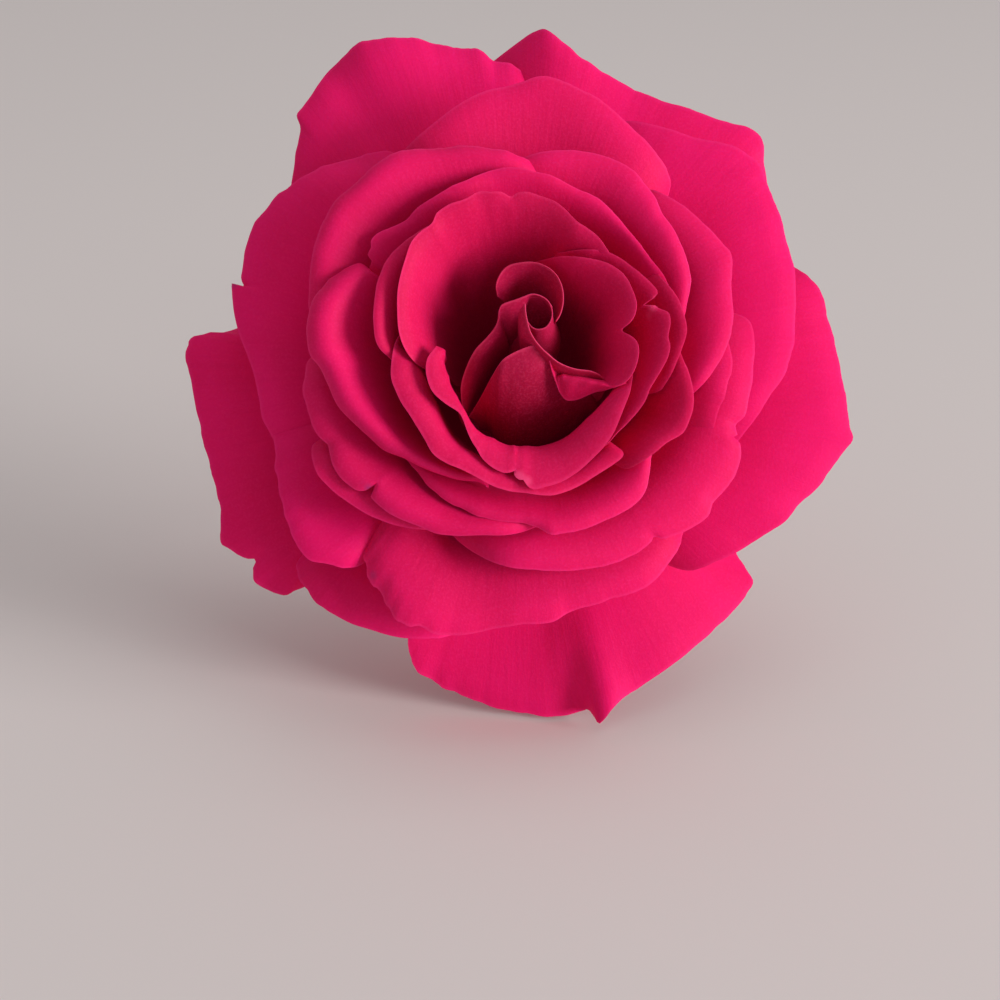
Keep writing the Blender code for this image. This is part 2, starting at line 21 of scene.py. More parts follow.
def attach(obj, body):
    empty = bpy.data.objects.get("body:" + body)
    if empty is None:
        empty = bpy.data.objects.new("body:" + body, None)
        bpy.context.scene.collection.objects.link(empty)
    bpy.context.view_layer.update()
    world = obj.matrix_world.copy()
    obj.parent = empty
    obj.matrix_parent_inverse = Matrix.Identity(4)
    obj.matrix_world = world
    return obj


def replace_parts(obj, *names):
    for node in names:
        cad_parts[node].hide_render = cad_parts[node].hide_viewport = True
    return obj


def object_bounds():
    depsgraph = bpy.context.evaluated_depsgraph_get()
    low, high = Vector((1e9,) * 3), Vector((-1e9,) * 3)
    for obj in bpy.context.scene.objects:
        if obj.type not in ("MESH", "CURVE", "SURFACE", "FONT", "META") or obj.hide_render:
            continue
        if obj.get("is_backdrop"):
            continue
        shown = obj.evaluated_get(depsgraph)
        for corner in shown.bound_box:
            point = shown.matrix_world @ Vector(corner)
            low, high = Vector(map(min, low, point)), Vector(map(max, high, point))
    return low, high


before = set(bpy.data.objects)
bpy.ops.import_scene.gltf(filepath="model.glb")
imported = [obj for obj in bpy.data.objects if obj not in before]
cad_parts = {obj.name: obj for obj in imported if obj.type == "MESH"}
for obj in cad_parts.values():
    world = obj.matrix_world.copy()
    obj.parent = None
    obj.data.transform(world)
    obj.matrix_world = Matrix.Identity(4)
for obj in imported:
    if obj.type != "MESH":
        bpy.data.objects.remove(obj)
cad_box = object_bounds()
MM = 0.001
print("solids of the part:", ", ".join(sorted(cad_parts)))

# %% [markdown]
# ## Shader maths
#
# A petal's finish is arithmetic on positions: streaks, a darker fold, a paler rim. Written as
# nodes by hand it would be a long list of links. A small class that wraps a socket and knows
# plus, minus and times lets the finish be written as a formula instead.

# %% A socket that can be calculated with
class Socket:
    """An output of a node, with Python's own plus, minus and times."""

    def __init__(self, finish, out):
        self.finish = finish
        self.out = out

    def math(self, operation, *values):
        return self.finish.node("ShaderNodeMath", {"operation": operation}, dict(enumerate(values)))

    def __add__(self, other):
        return self.math("ADD", self, other)

    def __mul__(self, other):
        return self.math("MULTIPLY", self, other)

    def __sub__(self, other):
        return self.math("SUBTRACT", self, other)


# %% A material in the making
class Finish:
    """A material in the making, with its Principled shader's plain numbers given at the start."""

    def __init__(self, name, **constants):
        self.material = bpy.data.materials.new(name)
        self.material.use_nodes = True
        self.nodes = self.material.node_tree.nodes
        self.links = self.material.node_tree.links
        self.shader = self.nodes["Principled BSDF"]
        for socket, value in constants.items():
            self.shader.inputs[socket.replace("_", " ")].default_value = value

    def node(self, kind, settings=None, inputs=None, output=0):
        made = self.nodes.new(kind)
        for name, value in (settings or {}).items():
            setattr(made, name, value)
        for socket, value in (inputs or {}).items():
            if isinstance(value, Socket):
                self.links.new(value.out, made.inputs[socket])
            else:
                made.inputs[socket].default_value = value
        return Socket(self, made.outputs[output])

    def set(self, socket, value):
        self.links.new(value.out, self.shader.inputs[socket])

    def place(self, output="Object"):
        return self.node("ShaderNodeTexCoord", output=output)

    def axis(self, vector, name):
        return self.node("ShaderNodeSeparateXYZ", inputs={0: vector}, output=name)

    def noise(self, vector, scale, detail=2.0, roughness=0.5):
        found = {"Vector": vector, "Scale": scale, "Detail": detail, "Roughness": roughness}
        return self.node("ShaderNodeTexNoise", inputs=found, output="Fac")

    def span(self, value, low, high, start=0.0, end=1.0):
        """Start where value is low, end where it is high, and a smooth change between."""
        found = {"Value": value, "From Min": low, "From Max": high, "To Min": start, "To Max": end}
        return self.node("ShaderNodeMapRange", {"interpolation_type": "SMOOTHSTEP"}, found)

    def mix(self, share, first, second):
        """The first colour, turning into the second as share goes from 0 to 1."""
        first, second = ((*c, 1) if isinstance(c, tuple) else c for c in (first, second))
        found = {0: share, 6: first, 7: second}
        return self.node("ShaderNodeMix", {"data_type": "RGBA"}, found, output=2)

    def bump(self, height, strength, distance):
        found = {"Height": height, "Strength": strength, "Distance": distance}
        self.set("Normal", self.node("ShaderNodeBump", inputs=found))


# %% [markdown]
# ## Where the bloom is
#
# The rose lies on a table, so its bloom is propped on the lowest petal and looks up and forwards.
# Petals are easier to think of round the bloom's own axis: an azimuth round it, a radius from it
# and a height along it. Azimuth 0 is the viewer's right, and 90 is up.

# %% The bloom's own frame
BLOOM_BASE = Vector((0.1, -55.0, 45.2))
BLOOM_RISE = math.radians(35)
BLOOM_AXIS = Vector((0, -math.cos(BLOOM_RISE), math.sin(BLOOM_RISE)))
BLOOM_UP = Vector((0, math.sin(BLOOM_RISE), math.cos(BLOOM_RISE)))


def in_bloom(right, up, height):
    """The world point, in metres, of a place in the bloom's own frame."""
    return (BLOOM_BASE + Vector((right, 0, 0)) + up * BLOOM_UP + height * BLOOM_AXIS) * MM


def round_bloom(azimuth, radius, height):
    """The same for an azimuth, a radius and a height."""
    turn = math.radians(azimuth)
    return in_bloom(radius * math.cos(turn), radius * math.sin(turn), height)


print("the bloom looks up by", round(math.degrees(BLOOM_RISE)), "degrees")

# %% [markdown]
# ## The petals' finish
#
# A rose petal looks like velvet because its skin is covered with tiny cones. They hide almost
# all shine and make the pink deep. Light also goes into the petal and comes out again a little
# further on, which is what subsurface scattering is for. Some of it comes through from behind;
# for that the petal has a faint painted glow of its own, though it is no lamp, which lifts its
# shadows to a dark red. Fine veins fan out from the claw to the rim, so they follow the petal's
# own UV map, where x runs along the rim and y from claw to rim.
#
# A painted picture could give all this too, but noise has no seams and no end. The petals get
# darker from the outside in, and the heart's deep finish is painted shade, for the shadow inside
# the cup. Painted shade also darkens each petal towards its claw, where the petals see only each
# other, and a pale line along the rim is a painted highlight, where the edge catches the light.

# %% Petal finish
# Painted shade: the colour a petal darkens to near its claw, where the petals shade each other, and the share
# of the blade where it begins.
PAINTED_THROAT_SHADE = (0.22, 0.0015, 0.015)
THROAT_SHADE_FADES_FROM = 0.58
# Painted highlight: where the paler line along the rim's edge begins, for the edge catching the light.
RIM_HIGHLIGHT_STARTS = 0.985
VEIN_LENGTHS = 2.2
CLOUD_SCALE = 70.0
VELVET_SCALE = 2600.0
# A faint painted glow: the petals shine a little of their own, though they are no lamp, which keeps their
# shadows a dark red.
PAINTED_GLOW = (0.7, 0.0, 0.08, 1)
SHEEN = (1.0, 0.25, 0.5, 1)
LIGHT_DEPTH = (1.0, 0.12, 0.25)
MARK_HEART, MARK_SIZE, MARK_RAGGED = 0.0006, 0.0018, 0.001


def petal_finish(name, lit, deep, rim, veins, throat_shade, marks=()):
    """Pink velvet: lit and deep are its two pinks, veins how many there are, and rim the pale of its
    grain and of the painted highlight along its edge.

    Throat shade is how far painted shade darkens the colour at the claw, as a share. Each mark is a
    colour and the place, as (azimuth, radius, height), that it spreads from: bruises are the petal's
    own, pale spots on the cup are painted highlights.
    """
    # The emission is the painted glow.
    skin = Finish(name, Roughness=0.62, Specular_IOR_Level=0.10, Subsurface_Weight=0.2,
                  Subsurface_Scale=0.0008, Subsurface_Radius=LIGHT_DEPTH, Sheen_Weight=0.02,
                  Sheen_Roughness=0.4, Sheen_Tint=SHEEN, Emission_Color=PAINTED_GLOW, Emission_Strength=0.015)
    grown = skin.place("UV")
    across, up = skin.axis(grown, "X"), skin.axis(grown, "Y")
    place = skin.place()
    drift = skin.axis(place, "Z") * 30.0
    fan = skin.node("ShaderNodeCombineXYZ", inputs={0: across * veins, 1: up * VEIN_LENGTHS, 2: drift})
    streaks = skin.noise(fan, 1.0, 4.0, 0.62)
    clouds = skin.noise(place, CLOUD_SCALE, 3.0)
    velvet = skin.noise(place, VELVET_SCALE, 2.0)
    depth = skin.span(streaks, 0.35, 0.72) * 0.16 + skin.span(clouds, 0.35, 0.7) * 0.4
    colour = skin.mix(depth, lit, deep)
    # Painted shade: the colour darkens towards the claw.
    colour = skin.mix(skin.span(up, THROAT_SHADE_FADES_FROM, 1.0, throat_shade, 0.0), colour, PAINTED_THROAT_SHADE)
    colour = skin.mix(skin.span(velvet, 0.42, 0.75, 0.0, 0.16), colour, rim)
    # Painted highlight: a paler line along the rim's edge.
    colour = skin.mix(skin.span(up, RIM_HIGHLIGHT_STARTS, 1.0, 0.0, 0.35), colour, rim)
    # Bruises are the petal's own colour; the pale spots on the cup are painted highlights.
    for mark, spot in marks:
        found = {0: place, 1: round_bloom(*spot)}
        away = skin.node("ShaderNodeVectorMath", {"operation": "DISTANCE"}, found, output=1)
        away = away + clouds * MARK_RAGGED
        colour = skin.mix(skin.span(away, MARK_HEART, MARK_SIZE, 0.75, 0.0), colour, mark)
    skin.set("Base Color", colour)
    skin.bump(streaks * 0.6 + velvet * 0.3, 0.3, 0.0004)
    return skin.material


# %% Finishes of the four layers
BRUISE = (0.30, 0.03, 0.16)
# Painted highlights: pale spots on the cup where folds and nicked rims catch the light.
PAINTED_HIGHLIGHT = (0.82, 0.06, 0.2)
GUARD_MARKS = [(BRUISE, (163, 49.2, 25))]
OPEN_MARKS = [(BRUISE, (220.4, 32.5, 37.1)), (BRUISE, (222.6, 32.4, 37.3)), (BRUISE, (236, 41.5, 26))]
CUP_PAINTED_HIGHLIGHTS = [
    (PAINTED_HIGHLIGHT, (17.5, 22.6, 45)), (PAINTED_HIGHLIGHT, (15, 21.5, 44.7)), (PAINTED_HIGHLIGHT, (12, 20.3, 44.2)),
    (PAINTED_HIGHLIGHT, (270, 21.5, 45)), (PAINTED_HIGHLIGHT, (273, 22.3, 45)), (PAINTED_HIGHLIGHT, (352, 28.6, 42.6)),
]
PETAL_SKINS = {
    "outer": petal_finish(
        "petal_outer", lit=(0.82, 0.005, 0.14), deep=(0.66, 0.003, 0.09), rim=(0.9, 0.03, 0.22),
        veins=70, throat_shade=0, marks=GUARD_MARKS,
    ),
    "middle": petal_finish(
        "petal_middle", lit=(0.78, 0.006, 0.12), deep=(0.64, 0.004, 0.08), rim=(0.9, 0.035, 0.22),
        veins=60, throat_shade=0.2, marks=OPEN_MARKS,
    ),
    "cup": petal_finish(
        "petal_cup", lit=(0.66, 0.0055, 0.09), deep=(0.54, 0.004, 0.06), rim=(0.9, 0.04, 0.2),
        veins=50, throat_shade=0.35, marks=CUP_PAINTED_HIGHLIGHTS,
    ),
    # The heart's darker finish and deep throat are painted shade, for the shadow inside the cup.
    "heart": petal_finish(
        "petal_heart", lit=(0.46, 0.006, 0.062), deep=(0.35, 0.004, 0.04), rim=(0.85, 0.07, 0.2),
        veins=40, throat_shade=0.95,
    ),
}
print(len(PETAL_SKINS), "petal finishes")

# %% [markdown]
# ## One petal
#
# A real petal can be made by pulling a grid of points into place: its columns run from the claw
# to the rim, and its rows along the rim. A curve with two handles gives the side view, a smooth
# line through a few points gives the rim, and four small changes on top make it alive: the rim
# rolls back, it waves, it has nicks, and the blade has folds. Sculpting by hand would do as well,
# but numbers can be changed one at a time while looking at the flower.
#
# So a petal is a short list. Its claw is a (radius, height), and rise and roll are the handles at
# the claw and at the rim, as (angle, length). Neck is how far out the upper handle stays. Its rim
# is a row of (azimuth, radius, height), and lip a row of (azimuth, length, angle) that says how
# far it rolls back. Ruffle is how much it waves, a nick is (azimuth, half its width, depth), and
# a fold is (azimuth, half its width, rise, the share of the blade's height where it starts).

# %% The rim's line and the side view
Petal = namedtuple(
    "Petal", "claw rise roll neck rim lip ruffle nicks folds",
    defaults=([(0, 4, 25)], 0.5, (), ()),
)
CLAW_HALF_ANGLE = 42
SPREAD_AT = 0.6


def through(points, gaps, share):
    """A place on the smooth curve through the points, at a share of its length; gaps are its steps."""
    knots = [0.0]
    for gap in gaps:
        knots.append(knots[-1] + gap)
    at = share * knots[-1]
    i = max(k for k in range(len(gaps)) if knots[k] <= at)
    step = gaps[i]
    u = (at - knots[i]) / step
    low, high = max(i - 1, 0), min(i + 2, len(gaps))
    leaving = (points[i + 1] - points[low]) / (knots[i + 1] - knots[low]) * step
    coming = (points[high] - points[i]) / (knots[high] - knots[i]) * step
    return (
        points[i] * (2 * u**3 - 3 * u**2 + 1)
        + leaving * (u**3 - 2 * u**2 + u)
        + points[i + 1] * (3 * u**2 - 2 * u**3)
        + coming * (u**3 - u**2)
    )


def on_rim(rim, share):
    """Azimuth, radius and height at a share of the rim's length."""
    places = [Vector(place) for place in rim]
    gaps = [
        math.hypot(math.radians(after.x - before.x) * (before.y + after.y) / 2,
                   after.y - before.y, after.z - before.z)
        for before, after in zip(places, places[1:])
    ]
    return through(places, gaps, share)


def heading(angle, reach=1.0):
    """A step, as (radius, height), at an angle above the outward direction."""
    return reach * Vector((math.cos(math.radians(angle)), math.sin(math.radians(angle))))


def side_view(petal, tip, up):
    """Place and direction, as (radius, height), at a share of the way from the claw to the tip."""
    root = Vector(petal.claw)
    leaving = root + heading(*petal.rise)
    coming = tip - heading(*petal.roll)
    coming.x = max(coming.x, min(petal.neck, tip.x - 1))
    down = 1 - up
    place = down**3 * root + 3 * down**2 * up * leaving + 3 * down * up**2 * coming + up**3 * tip
    going = down**2 * (leaving - root) + 2 * down * up * (coming - leaving) + up**2 * (tip - coming)
    return place, going.normalized()


# %% The rolled rim
def lip_at(lip, azimuth):
    """Length and angle of the rolled rim, between the stations (azimuth, length, angle) of lip."""
    before = [station for station in lip if station[0] <= azimuth]
    after = [station for station in lip if station[0] > azimuth]
    if not before or not after:
        return (before[-1] if before else after[0])[1:]
    low, high = before[-1], after[0]
    share = (azimuth - low[0]) / (high[0] - low[0])
    return tuple(a + (b - a) * share for a, b in zip(low[1:], high[1:]))


def rolled(length, angle, left):
    """How far forwards and down the roll carries a point that has this much petal left beyond it."""
    bend = math.radians(max(angle, 0.1)) / length
    run = max(0, length - left)
    return math.sin(bend * run) / bend - run, (1 - math.cos(bend * run)) / bend


# %% The rim as drawn, its nicks, and the fan from the claw
EASE_STEPS = (-0.08, -0.05, -0.025, 0, 0.025, 0.05, 0.08)
DETAIL_FADE = 10
NICK_FADE = 12


@cache
def eased_rim(rim, across):
    """The rim as drawn, and the calmer line that the rest of the petal follows."""
    nearby = [min(1, max(0, across + step)) for step in EASE_STEPS]
    eased = sum((on_rim(rim, share) for share in nearby), Vector()) / len(nearby)
    return on_rim(rim, across), eased


def rim_detail(nicks, drawn, eased, up):
    """What the drawn rim and its nicks add to the calm line; it fades soon below the rim."""
    detail = (drawn - eased) * up**DETAIL_FADE
    for at, half_width, depth in nicks:
        detail.y -= depth * max(0, 1 - abs(drawn.x - at) / half_width) * up**NICK_FADE
    return detail


def fanned(rim, azimuth, up):
    """The azimuth at a share of the way up: the petal is narrow at its claw and soon fans out."""
    first, last = rim[0][0], rim[-1][0]
    middle = (first + last) / 2
    narrow = min(1, 2 * CLAW_HALF_ANGLE / abs(last - first))
    spread = narrow + (1 - narrow) * math.sin(math.pi / 2 * min(1, up / SPREAD_AT))
    return middle + (azimuth - middle) * spread


# %% Round corners, waves and folds
CORNER = 0.06
CORNER_DEPTH = 0.15
WAVE_PER_DEGREE, WAVE_FADE, WAVE_LIFT = 0.05, 4, 1.4
SCALLOP_PER_MM, SCALLOP_FADE, SCALLOP_LIFT, SCALLOP_REACH = 0.22, 12, 0.3, 0.8
FRAY_PER_MM, FRAY_FADE, FRAY_REACH = 0.8, 40, 0.2
FOLD_SOFTNESS = 1.5


def corner_drop(across):
    """A petal's corners are round: the share of its height that is missing near its sides."""
    near = min(1, min(across, 1 - across) / CORNER)
    return CORNER_DEPTH * (1 - math.sqrt(1 - (1 - near) ** 2))


def waved(petal, seed, azimuth, radius, up):
    """How far waves and folds lift the blade, and how far a ragged rim reaches past its line."""
    run = math.radians(azimuth) * radius
    wave = noise.noise(Vector((azimuth * WAVE_PER_DEGREE, seed, up))) * up**WAVE_FADE
    scallop = noise.noise(Vector((run * SCALLOP_PER_MM, seed, 9))) * up**SCALLOP_FADE
    fray = noise.noise(Vector((run * FRAY_PER_MM, seed, 5))) * up**FRAY_FADE
    lift = petal.ruffle * (WAVE_LIFT * wave + SCALLOP_LIFT * scallop)
    for at, half_width, rise, start in petal.folds:
        ridge = math.exp(-(((azimuth - at) / half_width) ** 2))
        lift += rise * ridge * max(0, (up - start) / (1 - start)) ** FOLD_SOFTNESS
    return lift, petal.ruffle * (SCALLOP_REACH * scallop + FRAY_REACH * fray)


# %% Any point of a petal
BLADE_CURVE = 1.1


def petal_point(petal, seed, across, up):
    """A point of the face that looks into the bloom: across runs along the rim, up from claw to rim."""
    drawn, eased = eased_rim(tuple(petal.rim), across)
    azimuth, radius, height = eased
    lip = lip_at(petal.lip, azimuth)
    facing = heading(petal.roll[0])
    tip_out, tip_down = rolled(*lip, 0)
    tip = Vector((radius, height)) - tip_out * facing + tip_down * Vector((-facing.y, facing.x))
    place, along = side_view(petal, tip, up * (1 - corner_drop(across)))
    blade = (tip - Vector(petal.claw)).length * BLADE_CURVE
    out, down = rolled(*lip, (1 - up) * blade)
    lift, reach = waved(petal, seed, azimuth, radius, up)
    place += along * (out + reach) + Vector((-along.y, along.x)) * (lift - down)
    detail = rim_detail(petal.nicks, drawn, eased, up)
    return round_bloom(fanned(petal.rim, azimuth, up) + detail.x, place.x + detail.y, place.y + detail.z)


# %% [markdown]
# A petal is thickest at its claw and no thicker than drawing paper at its rim. Its sheet is made
# first, and then doubled: the copy moves back along its normals, and a strip round the edge closes
# the two. A solid modifier would thicken it evenly, but a petal thins out from claw to rim. The
# lowest petals meet the table, which bends them up a little instead of letting them through.

# %% From a grid to a closed petal
CLAW_THICKNESS = 0.55
RIM_THICKNESS = 0.16
TABLE_SOFTNESS = 1.2
ROW_CROWDING = 1.5
SHARP_EDGE = math.radians(50)
SEED_STEP = 0.173


def above_table(point, rest):
    """Bends what would go under the table up to lie along it, rest metres above it."""
    soft = TABLE_SOFTNESS * MM
    rise = (point.z - rest) / soft
    point.z = rest + soft * (max(rise, 0) + math.log1p(math.exp(-abs(rise))))
    return point


def face_along(bm, direction):
    """Turns a sheet over where most of it faces against the direction."""
    bm.normal_update()
    facing = sum(face.normal.dot(direction) * face.calc_area() for face in bm.faces)
    if facing < 0:
        bmesh.ops.reverse_faces(bm, faces=bm.faces[:])


def thicken(bm, thickness_at):
    """Closes a sheet into a thin solid; thickness_at gives the thickness for a row's share."""
    uv = bm.loops.layers.uv.active
    grown = bmesh.ops.extrude_face_region(bm, geom=bm.faces[:])["geom"]
    bm.normal_update()
    new = [part for part in grown if isinstance(part, bmesh.types.BMVert)]
    for vert in new:
        row = vert.link_loops[0][uv].uv.y
        vert.co -= thickness_at(row) * MM * vert.normal
    bm.normal_update()
    bmesh.ops.recalc_face_normals(bm, faces=bm.faces[:])


def finished(name, bm, skin):
    """Turns the mesh into a piece of the rose that rides with it."""
    mesh = bpy.data.meshes.new(name)
    bm.to_mesh(mesh)
    bm.free()
    mesh.shade_smooth()
    mesh.set_sharp_from_angle(angle=SHARP_EDGE)
    mesh.materials.append(skin)
    piece = bpy.data.objects.new(name, mesh)
    bpy.context.scene.collection.objects.link(piece)
    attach(piece, "root")
    return piece


def petal_thickness(up):
    return CLAW_THICKNESS + (RIM_THICKNESS - CLAW_THICKNESS) * up


def make_blade(name, point_at, skin, columns, rows, node):
    """A closed petal from point_at, which gives a world place for a share across and a share up."""
    bm = bmesh.new()
    bm.loops.layers.uv.new("petal")
    bmesh.ops.create_grid(bm, x_segments=columns, y_segments=rows, size=0.5, calc_uvs=True)
    uv = bm.loops.layers.uv.active
    for vert in bm.verts:
        across = vert.co.x + 0.5
        up = 1 - (0.5 - vert.co.y) ** ROW_CROWDING
        for loop in vert.link_loops:
            loop[uv].uv = (across, up)
        vert.co = above_table(point_at(across, up), petal_thickness(up) * MM)
    face_along(bm, BLOOM_AXIS)
    thicken(bm, petal_thickness)
    for vert in bm.verts:
        vert.co.z = max(vert.co.z, 0)
    piece = finished(name, bm, skin)
    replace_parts(piece, node)
    return len(piece.data.polygons)


def make_ring(ring, skin, columns, rows):
    """All petals of one layer; a petal's name seeds its waves, so that each has its own."""
    faces = 0
    for name, petal in ring.items():
        seed = sum(map(ord, name)) * SEED_STEP
        faces += make_blade(name, partial(petal_point, petal, seed), skin, columns, rows, "petals")
    print(len(ring), "petals,", faces, "faces")


# %% [markdown]
# ## The guard petals
#
# The outermost petals are the oldest and the largest. They lie almost flat, and their rims have
# rolled under so far that the petal ends in blunt points. Their rims could be drawn as curves in
# the editor. Here each rim is a row of points in the bloom's own frame, read off the flower one
# after the other, because a point can then be moved by a millimetre without redrawing the rest.

# %% The guard petals
OUTER = {
    "outer_top_left": Petal((6.3, 1.8), (24, 25), (-8, 20), 31, [
        (143.2, 49.1, 8), (139.5, 51.8, 12), (135, 54.4, 14), (131.5, 56.9, 15), (130.2, 58.3, 15.3),
        (129.4, 60.3, 15.5), (127.8, 60.8, 15.5), (125.7, 61.6, 15.5), (123.4, 62.9, 15.5),
        (120.8, 64.3, 15.5), (118.5, 64.8, 15.8), (115.7, 65.2, 16), (113.4, 64.8, 16), (110.7, 63.9, 16),
        (107.5, 62.7, 16), (104.5, 61.4, 16), (101.5, 59.7, 16.2), (98.2, 59, 16.5), (96.3, 57.8, 16.7),
        (94.9, 56.7, 16.8), (92.5, 55.5, 17), (89.8, 54.3, 17), (86.7, 53.4, 16), (83.8, 52.6, 13)],
        lip=[(0, 7, 22)], ruffle=0.7, folds=[(120, 3.5, -1.2, 0.6), (111, 6, 0.9, 0.45), (134, 7, 0.8, 0.5)]),
    "outer_top_right": Petal((6.3, 1.9), (28, 25), (-4, 20), 31, [
        (101.9, 54.3, 8), (96.9, 56.5, 11.5), (94.1, 57.6, 13.5), (91.5, 58.8, 15.3), (89, 60.2, 17),
        (87.3, 61, 18), (86.1, 61.2, 18.6), (84.6, 60.2, 19), (82.3, 58.5, 19), (79.4, 57, 19),
        (75.5, 55.4, 18.5), (69.5, 54.4, 18), (64.6, 54.2, 18), (59.8, 54.8, 18), (55.3, 55.9, 18),
        (51.1, 57.4, 18), (48.1, 58.6, 18), (45.9, 58.8, 17.8), (44.4, 58, 17.6), (43.1, 56.8, 17),
        (40.2, 54.9, 15), (36.7, 53.4, 12)],
        lip=[(0, 4, 14)], ruffle=0.5),
    "outer_right": Petal((6.3, 1.8), (24, 24), (-6, 18), 29, [
        (31.2, 51.1, 9), (24.6, 51, 12), (21.4, 52.3, 13.5), (19.2, 53.3, 14), (16.7, 53.6, 14),
        (12.3, 53.6, 14), (7.1, 54, 14), (2.5, 54.4, 14), (-2, 55, 13.8), (-5.4, 55.6, 13.5),
        (-7.6, 56.2, 13.3), (-9.3, 56.9, 13.2), (-11.2, 56, 13), (-13.1, 55.2, 13), (-16.1, 54, 13),
        (-20, 52.8, 13), (-23.6, 51.3, 13), (-27.5, 50.1, 13), (-31.1, 48.6, 12.8), (-34.7, 47.3, 12.5),
        (-37.9, 46.3, 12.5), (-41.8, 44.6, 12), (-45.6, 43.3, 11), (-51.3, 40.6, 8.5)],
        lip=[(0, 5, 12)], ruffle=0.6),
    "outer_upper_right": Petal((6.3, 2.3), (38, 26), (-6, 18), 27, [
        (71.3, 45, 19.5), (68.3, 47.1, 21.5), (64.1, 47.9, 22.8), (60.2, 48.5, 23.4), (56.6, 49.2, 23.8),
        (53.9, 49.9, 24), (50.8, 51, 24.2), (46.6, 52.8, 24.5), (43.3, 53.2, 24.5), (40.7, 53.4, 24.5),
        (38.8, 52.8, 24.5), (34.5, 51.4, 24.5), (30.2, 50.4, 24.3), (25.7, 49.5, 24), (21.7, 48.7, 24),
        (16.7, 47.7, 24), (12.3, 46.8, 24), (7.6, 45.9, 24), (3.4, 44.6, 24), (-0.3, 43.7, 24),
        (-4.4, 42.1, 24), (-8.9, 40.4, 23.8), (-14.1, 38.8, 23), (-18.6, 37.6, 21.5), (-24.6, 35.7, 19)],
        lip=[(0, 4, 16)], ruffle=0.5),
    "outer_bottom": Petal((6.3, 1.4), (12, 24), (-12, 18), 31, [
        (329.6, 45, -5), (325.3, 46.1, -3.2), (323.7, 48.4, -2.2), (322.3, 50.9, -1.6), (320.4, 51.4, -1),
        (317.1, 51.9, 0), (313.3, 52, 1), (309.1, 52, 2), (303.5, 52.4, 3.1), (297.4, 53.4, 4),
        (293.1, 54.1, 4.5), (289, 54.8, 4.8), (286.2, 56.1, 4.8), (284.4, 57.5, 4.6), (283.4, 58.1, 4.4),
        (283, 56.9, 3.6), (282.4, 55.6, 2.8), (281.1, 56, 2), (279.1, 56.4, 1.4), (276.4, 56.4, 0.8),
        (273.7, 55.8, 0.4), (270.2, 54.9, 0), (266.6, 54, -0.4), (262.5, 53.1, -0.6), (258, 52.1, -0.6),
        (254.5, 51.5, -0.4), (251, 50.6, 0.4), (247.7, 49.6, 1.2), (244.6, 48.7, 2)],
        lip=[(0, 4, 8)], ruffle=0.6, folds=[(286, 3.5, 1.6, 0.6), (280, 3.0, -1.6, 0.7), (300, 9, 1.2, 0.4)]),
    "outer_left": Petal((6.3, 1.7), (22, 25), (-6, 20), 30, [
        (163.7, 46, 8), (167.7, 48.7, 11), (169.5, 50.9, 12), (170.3, 53.6, 12.3), (171.3, 55.7, 12.5),
        (172.5, 56.5, 12.5), (174.7, 56.9, 12.7), (177, 56.3, 12.8), (180, 55.4, 13), (183.6, 54.8, 13),
        (188.2, 54.3, 13), (192.9, 54, 13), (197.6, 54, 13), (201.3, 54.3, 12.8), (204.4, 54.9, 12.6),
        (207, 56.3, 12.3), (208.4, 57, 12), (209.6, 56.3, 12), (211.9, 55.3, 12), (213.7, 54.4, 11.8),
        (215.3, 54.8, 11.6), (216.9, 55.7, 11.5), (218.9, 55.1, 11.3), (221, 54, 11), (222.6, 52.8, 11),
        (222.8, 51.7, 10.8), (223.1, 50.6, 10.5), (223.7, 49.3, 9.5), (224.7, 47.2, 7)],
        lip=[(0, 6, 22)], ruffle=0.7, nicks=[(214, 1.0, 1.2)]),
    "outer_lower_left": Petal((6.3, 2.0), (30, 24), (-8, 16), 28, [
        (218.3, 48.2, 13), (221.7, 49.2, 15.5), (225, 49.8, 17), (227.5, 50.4, 17.5), (229.7, 50.5, 18),
        (233, 50.1, 18), (236.5, 49.6, 18), (240, 48.8, 18), (243.6, 48.2, 18), (246.9, 47.5, 18),
        (249.7, 46.7, 18), (252.7, 45.8, 17.5), (255.3, 44.6, 16.5), (261.1, 41.8, 14), (265.3, 38.9, 11)],
        lip=[(0, 5, 25)], ruffle=0.5),
    "outer_upper_left": Petal((6.3, 2.3), (38, 26), (-8, 16), 28, [
        (116.9, 44.7, 19), (123.6, 45.3, 22.5), (129, 46.4, 24), (132.8, 47.8, 24.5), (137.8, 48.8, 25),
        (140.9, 49.7, 25), (144.9, 50.4, 25), (148.4, 50.3, 25), (150.8, 50.5, 25), (153.6, 50.3, 25),
        (157, 49.8, 25), (160.2, 49, 25), (161.8, 48.7, 25), (163.1, 47.8, 24.8), (163.3, 48.8, 24.9),
        (163.1, 49.8, 25), (164.6, 49.4, 25), (167, 48.7, 25), (169.9, 47.8, 25), (173.2, 46.5, 25),
        (177.5, 44.8, 25), (181.9, 43.6, 25), (186.8, 43.1, 24.8), (190.8, 43.1, 24.5), (194, 42.4, 24),
        (197.1, 41.9, 23.3), (202.8, 41, 20)],
        lip=[(0, 6, 28)], ruffle=0.5),
    "outer_inner_left": Petal((6.3, 2.4), (40, 27), (-6, 14), 26, [
        (190.9, 41.5, 22), (195, 41.8, 24), (198.6, 42.2, 25), (203, 43.2, 25.5), (207.8, 44.1, 25.8),
        (212.7, 45.3, 26), (215.8, 45.9, 26), (219, 46.6, 26), (221.7, 46.8, 26), (223.6, 46.6, 26),
        (226.1, 45.2, 26), (229.7, 43.5, 25.4), (231.3, 42, 24.2), (232.1, 40, 22.6), (233, 36.5, 19.5),
        (234.2, 32.3, 16.5)],
        lip=[(0, 5, 22)], ruffle=0.4),
}
make_ring(OUTER, PETAL_SKINS["outer"], columns=120, rows=40)

